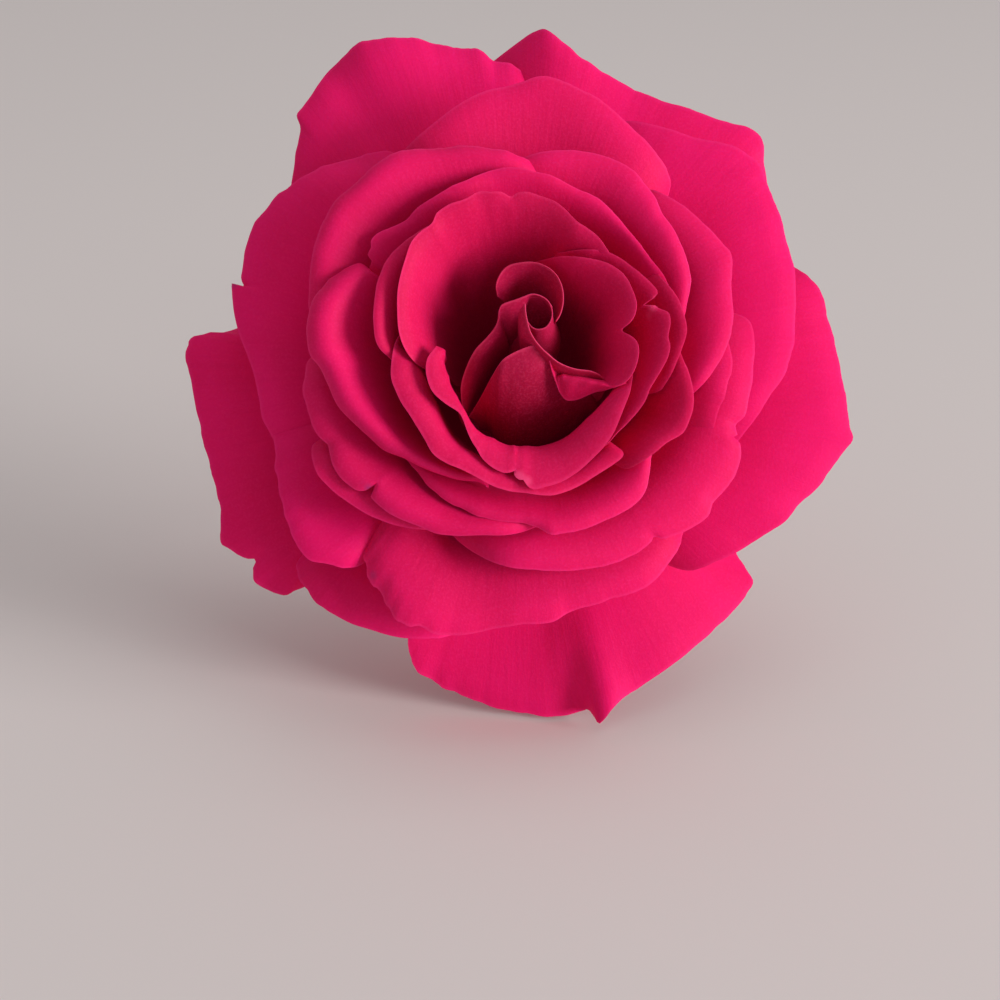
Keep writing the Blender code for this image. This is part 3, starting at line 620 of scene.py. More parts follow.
# %% [markdown]
# ## The open petals
#
# These stand up from the claw, turn over like the lip of a bowl, and hide the next one's base.
# They could be copies of one petal turned round the axis, but then every rim would have the same
# nick. The function is the same as for the guard petals. Only the numbers change: the handle at
# the claw is steeper, and the neck is narrower.

# %% The open petals
MIDDLE = {
    "middle_top": Petal((6.1, 2.7), (48, 30), (-4, 16), 26, [
        (121.9, 40, 27), (117.7, 40.6, 30.5), (114.1, 41.1, 32), (110.5, 41.9, 32.6), (105.3, 43.2, 33),
        (100.4, 44.7, 33), (96, 45.7, 33), (92.5, 46.2, 33), (88.8, 47, 33), (85.8, 47.7, 33),
        (82.8, 47.6, 33), (78.6, 46.7, 33), (72.9, 45.4, 33), (68.2, 43.9, 33), (63.5, 42.8, 32.8),
        (59, 41.9, 32.2), (55.1, 40.9, 31), (51.7, 39.8, 29), (48.6, 38.5, 26)],
        lip=[(0, 4, 14)], ruffle=0.5),
    "middle_top_left": Petal((5.8, 3.1), (50, 27), (-4, 13), 22, [
        (171.8, 34.6, 35.5), (167.3, 34.8, 38), (162.4, 35.4, 39), (155.6, 36.4, 40), (150.1, 37.2, 40),
        (145.4, 37.8, 40.3), (140.7, 38.2, 40.5), (136.5, 37.8, 40.6), (131.9, 37.8, 40.8),
        (126.7, 37.9, 41), (120.8, 37.4, 41), (114.8, 36.1, 41), (108.6, 34.9, 41), (100.7, 33.7, 41),
        (94.8, 32.6, 41), (89.1, 31.5, 40.3), (83.5, 30.2, 38.5), (78.3, 28.8, 36)],
        lip=[(0, 5, 28)], ruffle=0.5),
    "middle_top_right": Petal((5.8, 3.1), (50, 27), (-2, 12), 22, [
        (97, 29.3, 35), (92.7, 30.9, 38), (88.3, 31.8, 39.2), (82.6, 32.8, 39.8), (75.4, 33.9, 40),
        (67.8, 34.6, 40), (61.5, 34.8, 40), (55.1, 34, 40), (50.3, 33.2, 40), (44.2, 32.1, 40),
        (38.5, 31.4, 40), (33.1, 31, 39.8), (28.1, 30.5, 39.4), (22.9, 29.6, 39), (17.3, 28.2, 38.4),
        (12.1, 26.9, 37.5), (6.7, 25.1, 35)],
        lip=[(0, 4, 18)], ruffle=0.4),
    "middle_right": Petal((5.9, 3.0), (49, 28), (-2, 13), 23, [
        (56.8, 33.8, 33), (51.9, 35.1, 35.3), (46.9, 35.8, 36.2), (40.3, 36.3, 36.7), (33.2, 36.9, 37),
        (28.8, 37.4, 37), (26.3, 37.8, 37), (23.5, 37.3, 37), (19, 35.9, 37), (15.1, 35.3, 37),
        (10.8, 35, 37), (7.2, 34.3, 36.8), (2.4, 33.2, 36.6), (-1.8, 32.2, 36.4), (-6.1, 30.9, 36.2),
        (-9.5, 29.7, 36), (-12.1, 28.7, 35.2), (-15.3, 27.2, 33)],
        lip=[(0, 4, 14)], ruffle=0.35),
    "middle_right_tip": Petal((5.8, 3.1), (50, 27), (0, 11), 24, [
        (11.7, 33.2, 33), (4.9, 33.6, 35.3), (-0.2, 34, 36), (-3.5, 34, 36), (-8.6, 33.6, 36),
        (-12, 33.5, 35.8), (-14.7, 33.1, 35), (-18.6, 33.2, 33.5), (-22.3, 33.2, 31.5), (-25.7, 33.2, 29.5),
        (-29, 33.1, 27), (-32.3, 32.8, 24.5)],
        lip=[(0, 4, 12)], ruffle=0.3),
    "middle_low_right": Petal((6.0, 2.8), (48, 29), (-12, 17), 24, [
        (15.6, 38.6, 27), (9.4, 38.5, 30), (3.9, 38.2, 31.5), (-3, 37.7, 31.9), (-10.2, 37.5, 31.9),
        (-13.5, 37.5, 31.8), (-15.2, 37.1, 31.7), (-16.8, 36.4, 31.5), (-18.2, 36.8, 31.6),
        (-21.2, 38.3, 31.8), (-23.9, 39.2, 31.6), (-27.4, 39.4, 31.4), (-29.8, 39.4, 31.3),
        (-33.9, 39.2, 31.2), (-36.6, 38.9, 31.2), (-38.7, 39.4, 31.2), (-40.7, 39.5, 31.2),
        (-45.2, 38.8, 31.2), (-49, 38, 31.3), (-51.8, 37.2, 31.4), (-53.1, 36.1, 31.5), (-54.3, 36.4, 31.5),
        (-56.8, 36.7, 31.5), (-60.6, 36.7, 31.5), (-65.2, 36.5, 31.7), (-71.2, 36, 32), (-78, 35.3, 32.3),
        (-83.7, 34.7, 32.3), (-88.4, 34.3, 32.3), (-93, 33.9, 32.2), (-97.4, 33.4, 31.6),
        (-102.2, 32.5, 30.2), (-108.4, 31, 27.8), (-115.3, 29.3, 24.5)],
        lip=[(0, 4, 16)], ruffle=0.5, nicks=[(-20, 0.9, 1.0)]),
    "middle_low": Petal((6.0, 2.8), (48, 29), (-4, 13), 24.5, [
        (299.2, 33.6, 25), (292.6, 34, 27.5), (285.7, 33.2, 28.2), (278.8, 32.5, 28.4), (271.7, 32, 28.4),
        (264.5, 31.6, 28.2), (258.3, 31.1, 27.8), (252.4, 30.4, 27), (246.2, 29.7, 25.8),
        (237.7, 28.7, 23)],
        lip=[(0, 4, 20)], ruffle=0.4),
    "middle_low_inner": Petal((5.7, 3.3), (51, 25), (-2, 13), 19.5, [
        (335.3, 23.5, 33), (329.3, 24.7, 35.5), (324.5, 26.1, 37), (320, 27.3, 37.7), (315.2, 29.1, 38),
        (310.9, 30.3, 38), (306.1, 30.7, 38), (301.2, 30.7, 38), (294.6, 30.6, 38), (286.8, 30.4, 38),
        (281.1, 30.2, 38), (278.6, 29.6, 37.8), (275.1, 28.4, 37.6), (268.7, 27.7, 37.8), (262.1, 27.6, 38),
        (253.5, 27.2, 38), (246.2, 26.9, 37.8), (237.4, 26.1, 37.4), (227.9, 25.1, 36.3),
        (216, 24.3, 33.5)],
        lip=[(0, 4, 20)], ruffle=0.35),
    "middle_low_left": Petal((5.8, 3.1), (50, 27), (-2, 14), 22, [
        (177.2, 34, 32), (184.4, 34.6, 34.8), (189.6, 35, 36), (194.7, 35.1, 36.6), (198.7, 35.1, 36.9),
        (203.5, 34.8, 37), (206.3, 34.2, 36.8), (209.1, 34.5, 37), (213.7, 34.9, 37), (217.3, 34.8, 37),
        (220.8, 34.3, 37), (222.6, 33.3, 37), (223.6, 32.7, 37), (225.2, 33.2, 37), (230.5, 33.2, 37),
        (235.2, 32.9, 37), (240.8, 32.3, 37), (245.9, 32.1, 37), (251.2, 31.3, 37), (258.3, 30.2, 37),
        (267.2, 29.5, 36.8), (273.5, 28.5, 35.8), (280.6, 26.9, 33)],
        lip=[(0, 5, 30)], ruffle=0.5, nicks=[(223.5, 0.9, 1.6)]),
    "middle_left_tip": Petal((5.9, 3.0), (49, 28), (0, 12), 23.5, [
        (201.6, 35.4, 31), (204.9, 36.7, 33.4), (207.9, 37.3, 34.5), (211, 37.5, 35), (215.9, 37.1, 35),
        (222, 36.1, 35), (228.4, 35.1, 35), (235.7, 33.5, 34.6), (240.7, 32.2, 33.4), (245.9, 30.2, 30.5)],
        lip=[(0, 4, 20)], ruffle=0.4),
    "middle_left": Petal((5.7, 3.3), (51, 25), (2, 13), 19.5, [
        (155.2, 24.3, 36.5), (152.3, 26.2, 39), (151.5, 27.8, 40.4), (152, 29.1, 41), (155.4, 30.5, 41.4),
        (159.8, 31.9, 41.5), (163.8, 33.1, 41.5), (168.7, 33.7, 41.5), (174, 33.8, 41.3), (178.6, 33.6, 41),
        (182.5, 33.1, 41), (186.1, 31.7, 41), (191.5, 30.8, 41), (198.7, 30.1, 41), (204.7, 28.9, 41),
        (212, 27.6, 41), (217.9, 26.9, 40.8), (225, 25.3, 40.5), (232.6, 24.3, 40.2), (240.1, 23.3, 39.8),
        (247.6, 22.3, 38.8), (257.5, 19.9, 35.5)],
        lip=[(0, 7, 42)], ruffle=0.45),
    "middle_back_inner": Petal((5.7, 3.3), (51, 25), (10, 10), 19.5, [
        (158.5, 25.4, 36), (154.2, 26.7, 38.6), (151.1, 27.4, 40), (149.2, 27.5, 40.6), (148.4, 28.5, 41),
        (145.8, 28.7, 41.4), (144.1, 29.4, 41.7), (141.2, 29.3, 41.9), (137.5, 28.3, 42), (131.9, 27.5, 42),
        (125.7, 27.7, 42.5), (119, 27.6, 43), (113.3, 27.9, 43), (107.5, 28.1, 43), (101.9, 28.8, 43),
        (97.3, 29, 43), (91.3, 28.8, 43), (84.8, 28.3, 42.9), (79.1, 28, 42.8), (74.2, 27.6, 42.6),
        (67.9, 27.2, 42.4), (61.4, 27, 42.2), (54.7, 26.3, 42), (47.5, 25.7, 42), (40.8, 25.5, 42),
        (33.9, 25.5, 41.8), (27.9, 25.8, 41.3), (23.2, 25.9, 40.3), (17.3, 26.1, 37)],
        lip=[(0, 3, 12)], ruffle=0.4),
    "middle_bottom": Petal((6.2, 2.4), (44, 29), (-14, 16), 27, [
        (228.2, 36.9, 23.5), (229.7, 38.6, 25.4), (231, 40.1, 26.2), (233, 41.3, 26.2), (235.4, 42.6, 26.1),
        (238.4, 43.4, 26), (242, 44.8, 26), (245.2, 46.3, 26), (247.7, 46.1, 26), (249.5, 45.5, 26),
        (252.7, 46, 25.5), (255.9, 45.5, 25), (258.7, 45, 25), (261.8, 44.1, 25), (264.9, 43.2, 25.4),
        (268.1, 42.8, 25.8), (271.3, 42.5, 26), (274.5, 42.6, 26), (277.8, 42.4, 26), (281.2, 41.3, 26),
        (286.3, 40.8, 26.3), (290.9, 41, 26.5), (295.5, 41.4, 26.5), (299.8, 41.8, 26.5),
        (303.4, 41.3, 26.4), (307, 40.5, 26.3), (310.4, 39.6, 26), (313.8, 38.4, 25), (318.5, 35.8, 22)],
        lip=[(0, 5, 24)], ruffle=0.7),
}
make_ring(MIDDLE, PETAL_SKINS["middle"], columns=120, rows=38)

# %% [markdown]
# ## The cup
#
# The inner petals still hold the cup that the bud had. Their rims have only begun to turn out,
# except at the front, where they roll right over. One lip angle for a whole petal can't do both,
# so a lip here may be a row of stations round the bloom, each with its own length and angle.

# %% The cup
CUP = {
    "cup_back": Petal((5.1, 3.9), (60, 16), (42, 12), 9.5, [
        (195.3, 15.7, 41.5), (193.3, 16.3, 43.4), (189.8, 17, 44.6), (184.7, 17.9, 45.3),
        (177.5, 18.8, 45.9), (166.1, 19.7, 46.4), (155.5, 20.9, 46.8), (145, 22.1, 47), (137.5, 23.1, 47),
        (132.7, 23.2, 47), (126.5, 23.1, 47), (122.7, 24, 47), (117.6, 24.2, 47.2), (111.2, 24, 47.4),
        (105.3, 24.5, 47.6), (101, 23.9, 47.6), (96.6, 23.5, 47.4), (93.6, 22.9, 46.9), (90.8, 23.5, 47.4),
        (85.8, 23.5, 47.6), (81, 23.1, 47.6), (75.4, 22.5, 47.6), (70.2, 21.8, 47.4), (64.7, 21, 47),
        (59.4, 21, 46.8), (52.8, 20.6, 46.5), (46.7, 20, 46), (40.3, 19.7, 44.2), (34.6, 19.4, 41)],
        lip=[(0, 4, 16)], ruffle=0.35),
    "cup_back_left": Petal((5.4, 3.6), (52, 22), (20, 9), 16, [
        (189.7, 19.4, 40.5), (186.2, 20.6, 43), (183.5, 21.7, 44), (180, 22.5, 44.6), (173.4, 23.1, 44.9),
        (163.7, 23.8, 45), (156.4, 24.4, 45), (150.3, 24.7, 45), (145, 24.7, 45), (140.2, 24.5, 45),
        (134.6, 24.1, 44.8), (129, 24, 44.3), (122.5, 24.1, 42)],
        lip=[(0, 4, 22)], ruffle=0.3),
    "cup_left": Petal((5.3, 3.7), (54, 19), (80, 11), 14, [
        (166.4, 17.5, 41), (174.9, 18.7, 43), (181.5, 19.7, 44), (189.1, 20.3, 44.5), (196.3, 20.9, 44.8),
        (201.8, 21, 45), (208.8, 21.2, 45), (217.4, 21, 45), (226.6, 21.3, 45), (233.7, 22.3, 45),
        (240.6, 22.5, 45), (246.4, 22.5, 44.8), (252.5, 22.8, 44.6), (258.4, 23.2, 44.4),
        (265.9, 23.7, 44.2), (271.5, 24, 44), (276.9, 24.5, 44), (281.9, 24.8, 43.8), (286.9, 24.6, 43.6),
        (292.1, 24.4, 43.4), (301.5, 24.2, 43), (308.1, 24.3, 42.6), (312.8, 24.2, 42),
        (316.1, 22.6, 39.5)],
        lip=[(179, 1, 20), (185, 5, 58), (190, 7.5, 70), (200, 9, 70), (215, 9, 70), (240, 6.5, 70),
             (330, 6, 65)], ruffle=0.3),
    "cup_front": Petal((4.8, 4.2), (58, 15), (95, 12), 10.5, [
        (186.9, 12.2, 42.6), (181.8, 12.7, 44.2), (185.8, 13.4, 44.8), (190.8, 14.5, 45.2),
        (196.9, 15.2, 45.6), (205.3, 15.7, 45.8), (211.8, 15.8, 45.8), (221, 15.3, 45.6),
        (230.5, 14.9, 45.2), (235.6, 15.5, 45), (242.5, 16.9, 45), (248.6, 18.3, 45), (253.5, 19.7, 45),
        (257.3, 20.5, 45), (263.3, 21.1, 45), (266.2, 20.9, 45), (269.1, 20.4, 44.8), (267.9, 21.1, 44.9),
        (270, 21.9, 45), (272, 22, 45), (272.7, 22.7, 45), (275.3, 23.6, 45), (279.9, 23.5, 45),
        (285.8, 23.3, 45), (292.5, 22.7, 45.1), (300.1, 22, 45.3), (306.7, 21.6, 45.6), (313.4, 21, 45.8),
        (320.5, 20.1, 46), (328.1, 19.4, 46), (334, 19.1, 46), (339.3, 18.7, 45.4), (344.7, 18.4, 44),
        (350.4, 17.8, 42)],
        lip=[(185, 1, 84), (190, 3.2, 84), (197, 4.6, 84), (205, 5.4, 84), (221, 4.4, 84),
             (230, 2.6, 84), (236, 2.7, 84), (243, 3.6, 84), (249, 5, 84), (254, 6.7, 84), (263, 8, 84),
             (275, 11, 84), (286, 11, 84), (300, 9.6, 84), (312, 8.6, 84), (323, 6.6, 84), (335, 4.5, 80),
             (342, 3, 60), (350, 1.5, 40)], ruffle=0.25),
    "cup_right": Petal((4.6, 4.4), (63, 15), (45, 11), 10, [
        (90.6, 14.9, 26), (85.8, 15.7, 31), (80.4, 15.5, 36), (73.4, 15.1, 41), (64.7, 15.2, 45),
        (56.2, 15.8, 47), (48.6, 16.8, 47.7), (41.5, 18, 48), (35.1, 18.8, 48), (29.1, 19.2, 48),
        (23.1, 19.2, 48), (17.2, 19.1, 47.8), (11.9, 18.4, 47.6), (8.1, 17.2, 47.2), (5.4, 16, 46.4),
        (1.8, 17.2, 47), (-1.4, 18.3, 47.2), (-5.8, 18.8, 47.2), (-11.6, 18.8, 47), (-18.3, 18.4, 46.6),
        (-23.1, 17.6, 46), (-26.8, 16.3, 45), (-32.4, 14.5, 42)],
        lip=[(0, 3, 16)], ruffle=0.25),
    "cup_right_outer": Petal((5.0, 4.0), (56, 18), (30, 9), 13.5, [
        (84.9, 16.6, 29), (79.5, 16.9, 33), (72.6, 16.7, 38), (63.6, 16.8, 43), (54.8, 18.1, 45.2),
        (46.9, 19.8, 45.7), (39.9, 20.7, 45.9), (31.8, 21.5, 46), (24.1, 22.6, 46), (20, 23.1, 46),
        (17.5, 22.6, 45.3), (14.5, 22.4, 44.8), (11.2, 23.7, 45.6), (7, 23.7, 46), (1.9, 23.3, 46),
        (-2.4, 23.6, 46), (-6.8, 23.3, 46), (-13.1, 22.5, 45.8), (-19.9, 21.8, 45.4), (-25.6, 21.8, 45),
        (-29.9, 21.6, 44.6), (-36.5, 21.2, 44.2), (-42.9, 20.9, 43.6), (-48.5, 21, 42.4),
        (-53.9, 21.2, 39.5)],
        lip=[(0, 3, 12)], ruffle=0.25, nicks=[(17, 1.6, 2.2)]),
    "cup_right_rim": Petal((5.5, 3.5), (52, 23), (20, 8), 18, [
        (35.2, 25.4, 38.5), (27.7, 25.2, 41.5), (22.2, 25.5, 43), (16, 26.1, 43.6), (10, 26.4, 43.6),
        (4.7, 26.4, 43.6), (-0.9, 25.7, 43.5), (-5.6, 25, 43.3), (-11.8, 24.3, 42.4), (-18.6, 23.2, 39.5)],
        lip=[(0, 3, 10)], ruffle=0.25),
    "cup_low_right": Petal((5.4, 3.6), (52, 22), (10, 9), 18.5, [
        (5.1, 25, 38), (-3.2, 25.8, 41), (-9.1, 27.1, 42.2), (-14.9, 28.3, 42.6), (-19.5, 29, 42.6),
        (-23.6, 29.3, 42.4), (-28.4, 29.3, 42.1), (-33.5, 28, 41.8), (-38.4, 27.3, 41.2),
        (-44.1, 26.5, 39.8), (-49.9, 25.3, 37)],
        lip=[(0, 3, 12)], ruffle=0.3),
}
make_ring(CUP, PETAL_SKINS["cup"], columns=110, rows=38)

# %% [markdown]
# ## The heart
#
# In the middle the petals are still furled round each other: the innermost ends in a scroll, the
# front one hides most of the rest, and one petal of the cup has turned its side in over them. No
# rule of azimuth and radius gives such shapes. Here a petal is a row of columns, each a few
# points (right, up, height) from the claw to the rim, with a smooth curve through them both ways.
# A lofted surface in a CAD program is made the same way.

# %% Petals from columns of points
FURLED_GRID = (90, 40)


def column_point(columns, across, up):
    """The place on a sheet that runs smoothly through all the columns."""
    places = []
    for column in columns:
        gaps = [(b - a).length for a, b in zip(column, column[1:])]
        places.append(through(column, gaps, up))
    rims = [column[-1] for column in columns]
    gaps = [(b - a).length for a, b in zip(rims, rims[1:])]
    return in_bloom(*through(places, gaps, across))


def make_furled(petals, skin, node):
    """Petals that are each given by their columns of points."""
    for name, columns in petals.items():
        columns = [[Vector(point) for point in column] for column in columns]
        faces = make_blade(name, partial(column_point, columns), skin, *FURLED_GRID, node)
        print(name, faces, "faces")


# %% The heart
HEART = {
    "heart_back": [
        [(0.2, 1.5, 10), (-0.5, 6.1, 24), (-1.5, 7.5, 32), (-2.6, 8.4, 37), (-3.5, 8.6, 39.5)],
        [(0.2, 1.5, 10), (-0.2, 6.7, 25), (-1.1, 8.3, 33.5), (-2.4, 9.3, 39.3), (-3.7, 9.9, 42)],
        [(0.3, 1.7, 10), (0.2, 7.3, 26), (-0.6, 9.2, 35), (-1.8, 10.4, 40.8), (-3, 11.4, 43.2)],
        [(0.5, 1.9, 10), (0.8, 7.9, 27), (0.3, 9.8, 36), (-0.8, 11.3, 41.7), (-1.9, 12.4, 43.9)],
        [(0.7, 1.9, 10), (1.3, 8, 28), (1.1, 10, 37), (0.6, 11.7, 42.2), (-0.2, 12.8, 44.3)],
        [(0.9, 1.9, 10), (1.8, 8.1, 28), (2.1, 10.1, 37.5), (2.2, 11.7, 42.6), (2.1, 12.9, 44.5)],
        [(1, 1.9, 10), (2.5, 8, 28), (3.2, 9.8, 38), (3.8, 11.1, 43), (4.1, 12.2, 44.7)],
        [(1.2, 1.7, 10), (3.1, 7.6, 28), (4.2, 8.8, 38.5), (5.1, 9.9, 43.3), (5.7, 10.8, 44.9)],
        [(1.2, 1.5, 10), (3.6, 6.9, 28), (4.8, 7.6, 39), (5.8, 8.2, 43.6), (6.6, 8.8, 45.1)],
        [(1.4, 1.4, 10), (3.9, 6.3, 28), (5.3, 6.3, 39.5), (6.2, 6.3, 43.9), (6.8, 6.6, 45.3)],
        [(1.4, 1.2, 10), (4.1, 5.4, 28), (5.3, 4.7, 40), (6, 4.5, 44), (6.4, 4.5, 45.4)],
        [(1.4, 1, 10), (3.9, 4.6, 28), (4.9, 3.5, 40), (5.4, 3.2, 44), (5.7, 3.2, 45.4)],
    ],
    "heart_left": [
        [(-2.1, -0.1, 12), (-1.7, 1.2, 33), (0.1, 2.2, 41), (1, 2.7, 45.6), (1.3, 2.8, 46.9)],
        [(-1, -1.6, 12), (-0.2, -0.9, 33), (1, 0.8, 41), (1.7, 1.6, 45.6), (1.9, 1.9, 47.3)],
        [(0.6, -2.1, 12), (1.8, -1.8, 33), (2.4, 0.2, 41), (2.7, 1.1, 45.6), (2.8, 1.4, 47.6)],
        [(2.4, -1.6, 12), (4.4, -1.1, 33), (4.1, 0.6, 41), (4, 1.4, 45.6), (4.1, 1.7, 47.8)],
        [(3.6, 0.1, 12), (6.1, 1.3, 33), (5.3, 2.2, 41), (5, 2.7, 45.6), (4.9, 2.9, 48)],
        [(3.5, 2.1, 12), (6.1, 4.1, 33), (5.3, 4.1, 41), (5, 4.2, 45.6), (5, 4.3, 48)],
        [(2.3, 3.4, 12), (4.7, 6.5, 33), (4.4, 5.9, 41), (4.3, 5.7, 45.6), (4.4, 5.7, 48)],
        [(1.1, 3.8, 12), (2.6, 7.6, 33), (3, 6.8, 41), (3.2, 6.5, 45.6), (3.3, 6.5, 48)],
        [(-0, 3.8, 12), (0.6, 7.9, 33), (1.4, 7.1, 41), (1.8, 6.8, 45.6), (2, 6.8, 48)],
        [(0, 0.2, 12), (1.1, 2.7, 36), (0.9, 4.3, 43), (0.8, 5.7, 46.5), (0.6, 6.4, 47.9)],
        [(0, 0.2, 12), (0.3, 2.3, 35), (0, 3.5, 42.3), (-0.3, 5, 46), (-0.6, 6, 47.7)],
        [(0, 0.2, 12), (-0.5, 1.8, 34), (-1, 3, 41.6), (-1.4, 4.6, 45.6), (-1.9, 5.6, 47.5)],
        [(0, 0.2, 12), (-1.1, 1.4, 33), (-1.7, 2.5, 41), (-2.4, 4.3, 45), (-2.8, 5.2, 47.3)],
        [(0, 0.2, 12), (-1.3, 1.3, 32), (-2.1, 2.1, 40), (-2.7, 3.7, 44), (-3.2, 4.6, 46.3)],
        [(0, 0.2, 12), (-1.3, 1.2, 31), (-1.9, 1.7, 38.8), (-2.7, 2.9, 43.4), (-3.3, 3.6, 45.2)],
        [(0, 0.2, 12), (-1.3, 1, 30.5), (-1.9, 1.2, 38), (-2.8, 2, 43), (-3.8, 2.5, 44.2)],
        [(-0.2, 0, 12), (-2.1, 0.1, 30), (-3, 0.2, 37.5), (-4, 0.7, 42.1), (-5, 1.2, 43)],
        [(-0.3, -0.1, 12), (-3.3, -1.3, 29), (-4.5, -1.5, 36.5), (-5.7, -1.1, 40.9), (-7, -0.6, 41.5)],
        [(-0.5, -0.3, 12), (-4.1, -2.9, 27), (-5.6, -3.4, 34.5), (-7, -3.2, 38.9), (-8.4, -2.9, 39.5)],
        [(-0.7, -0.6, 12), (-4.8, -4.1, 25), (-6.6, -5.2, 32), (-7.8, -5.4, 36.3), (-9.3, -5.3, 37)],
        [(-0.7, -0.8, 12), (-5.1, -4.7, 23), (-7.1, -6.4, 29.5), (-8.2, -7.1, 33.2), (-9.3, -7.1, 34)],
        [(-0.7, -1, 12), (-5.5, -5, 21), (-7.3, -7.2, 27), (-8.1, -8.2, 30.2), (-8.9, -8.7, 31)],
    ],
    "heart_scroll": [
        [(0.2, 0.6, 11), (-0.2, 1.8, 37), (-0.3, 3.3, 44.2), (0.1, 4.4, 47.6), (0.8, 5.2, 48.6)],
        [(0.2, 0.6, 11), (0, 1, 36), (-0.2, 2.2, 43.3), (0.1, 3.3, 47.1), (0.9, 3.9, 48.4)],
        [(0.2, 0.6, 11), (0.2, 0.2, 35.5), (-0.1, 1.1, 42.6), (0.3, 1.9, 46.6), (1.2, 2.4, 48)],
        [(0.3, 0.4, 11), (0.3, -0.7, 35), (0.3, -0, 41.2), (0.8, 0.4, 45.6), (1.7, 0.8, 47.4)],
        [(0.3, 0.3, 11), (0.8, -1.8, 34), (1.3, -1.4, 40.2), (1.9, -1.1, 44.3), (2.8, -0.8, 46.7)],
        [(0.3, 0.1, 11), (1.8, -2.9, 33), (2.7, -3, 39.4), (3.5, -2.6, 43.4), (4.4, -2.3, 46)],
        [(0.3, -0.1, 11), (3.4, -4, 32), (4.8, -4.3, 38.6), (5.7, -4.1, 42.6), (6.4, -3.6, 45)],
        [(0.3, -0.3, 11), (5.3, -4.9, 31), (7.2, -5.4, 37.6), (8.2, -5, 41.6), (8.8, -4.3, 44.2)],
        [(0.3, -0.4, 11), (7.5, -5.5, 30), (9.7, -5.9, 37), (10.7, -5.3, 41), (11.2, -4.5, 43.6)],
        [(0.3, -0.6, 11), (9.1, -6, 29), (11.7, -6.5, 36), (12.5, -5.9, 40), (12.8, -5, 42.5)],
        [(0.3, -0.6, 11), (10, -6.4, 27), (12.7, -7.1, 34), (13.5, -6.6, 38), (13.8, -6, 40.5)],
    ],
    "heart_core": [
        [(0.8, 2.9, 30), (0.7, 3.5, 41.4), (0.6, 5, 43.2), (0.6, 5.8, 44.6), (0.5, 6.5, 46.2)],
        [(1.3, 2.9, 30), (1.5, 3.3, 41), (1.5, 4.9, 42.9), (1.4, 5.9, 44.4), (1.3, 6.6, 46.6)],
        [(2, 2.9, 30), (2.4, 3, 40.8), (2.4, 4.8, 42.7), (2.4, 5.9, 44.3), (2.2, 6.7, 46.8)],
        [(2.6, 2.9, 30), (3.3, 3, 40.8), (3.3, 4.7, 42.7), (3.3, 5.7, 44.3), (3.3, 6.6, 46.8)],
        [(3.3, 2.9, 30), (4.1, 3.3, 41), (4.2, 4.5, 42.9), (4.3, 5.4, 44.5), (4.4, 6, 46.6)],
        [(3.9, 2.9, 30), (4.8, 3.5, 41.4), (4.9, 4.1, 43.2), (5, 4.6, 44.8), (5, 5.2, 46.4)],
    ],
    "heart_front": [
        [(-0.3, -0.7, 8), (-4, -8.4, 18), (-6.1, -10.2, 25), (-7.3, -9.4, 29.2), (-8.1, -9.2, 30.8)],
        [(-0.3, -0.7, 8), (-3.8, -10.9, 22), (-5.2, -10, 29), (-5.9, -8.4, 34), (-6.2, -7, 35.8)],
        [(-0.3, -0.7, 8), (-3.1, -12.3, 24), (-4.7, -10, 32.5), (-4.9, -7.3, 38), (-4.6, -5, 40.3)],
        [(-0.3, -0.7, 8), (-2.5, -13.2, 25), (-3.8, -10, 34.5), (-4, -6.2, 40.5), (-3.5, -3.7, 43)],
        [(-0.2, -0.7, 8), (-2, -13.6, 25.5), (-3, -10, 35.5), (-3.2, -5.6, 42.2), (-2.8, -3, 44.3)],
        [(-0.2, -0.7, 8), (-1.3, -14, 26), (-1.8, -10, 36.3), (-1.9, -5.2, 42.8), (-1.9, -2.4, 44.9)],
        [(-0.2, -0.7, 8), (-0.5, -14, 26), (-0.3, -10.1, 36.8), (-0.3, -4.9, 43.3), (-0.5, -1.7, 45.3)],
        [(0, -0.7, 8), (0.7, -13.9, 26), (1.4, -9.8, 37), (1.4, -4.6, 43.6), (1.1, -1.1, 45.6)],
        [(0, -0.7, 8), (2.3, -13.5, 26), (3.3, -9.5, 37), (3, -4.3, 43.5), (2.3, -0.8, 45.6)],
        [(0, -0.7, 8), (4.1, -12.8, 25.5), (5.4, -8.9, 36.5), (4.7, -4.4, 42.6), (3.8, -1.3, 44.8)],
        [(0.2, -0.7, 8), (6.2, -11.7, 25), (7.8, -8.5, 35.5), (6.8, -5, 41), (5.4, -2.3, 43.2)],
        [(0.2, -0.7, 8), (8.4, -10.3, 24), (10.1, -8.2, 34), (9.2, -5.7, 38.5), (7.3, -3.5, 40.8)],
        [(0.2, -0.7, 8), (9.1, -7.5, 22), (11.8, -7.9, 31.5), (11.4, -6.6, 35.5), (9.7, -5, 37.5)],
        [(0.2, -0.7, 8), (9.8, -6.1, 20), (12.7, -7.8, 28), (12.8, -7.3, 31), (11.7, -6.5, 33)],
    ],
}
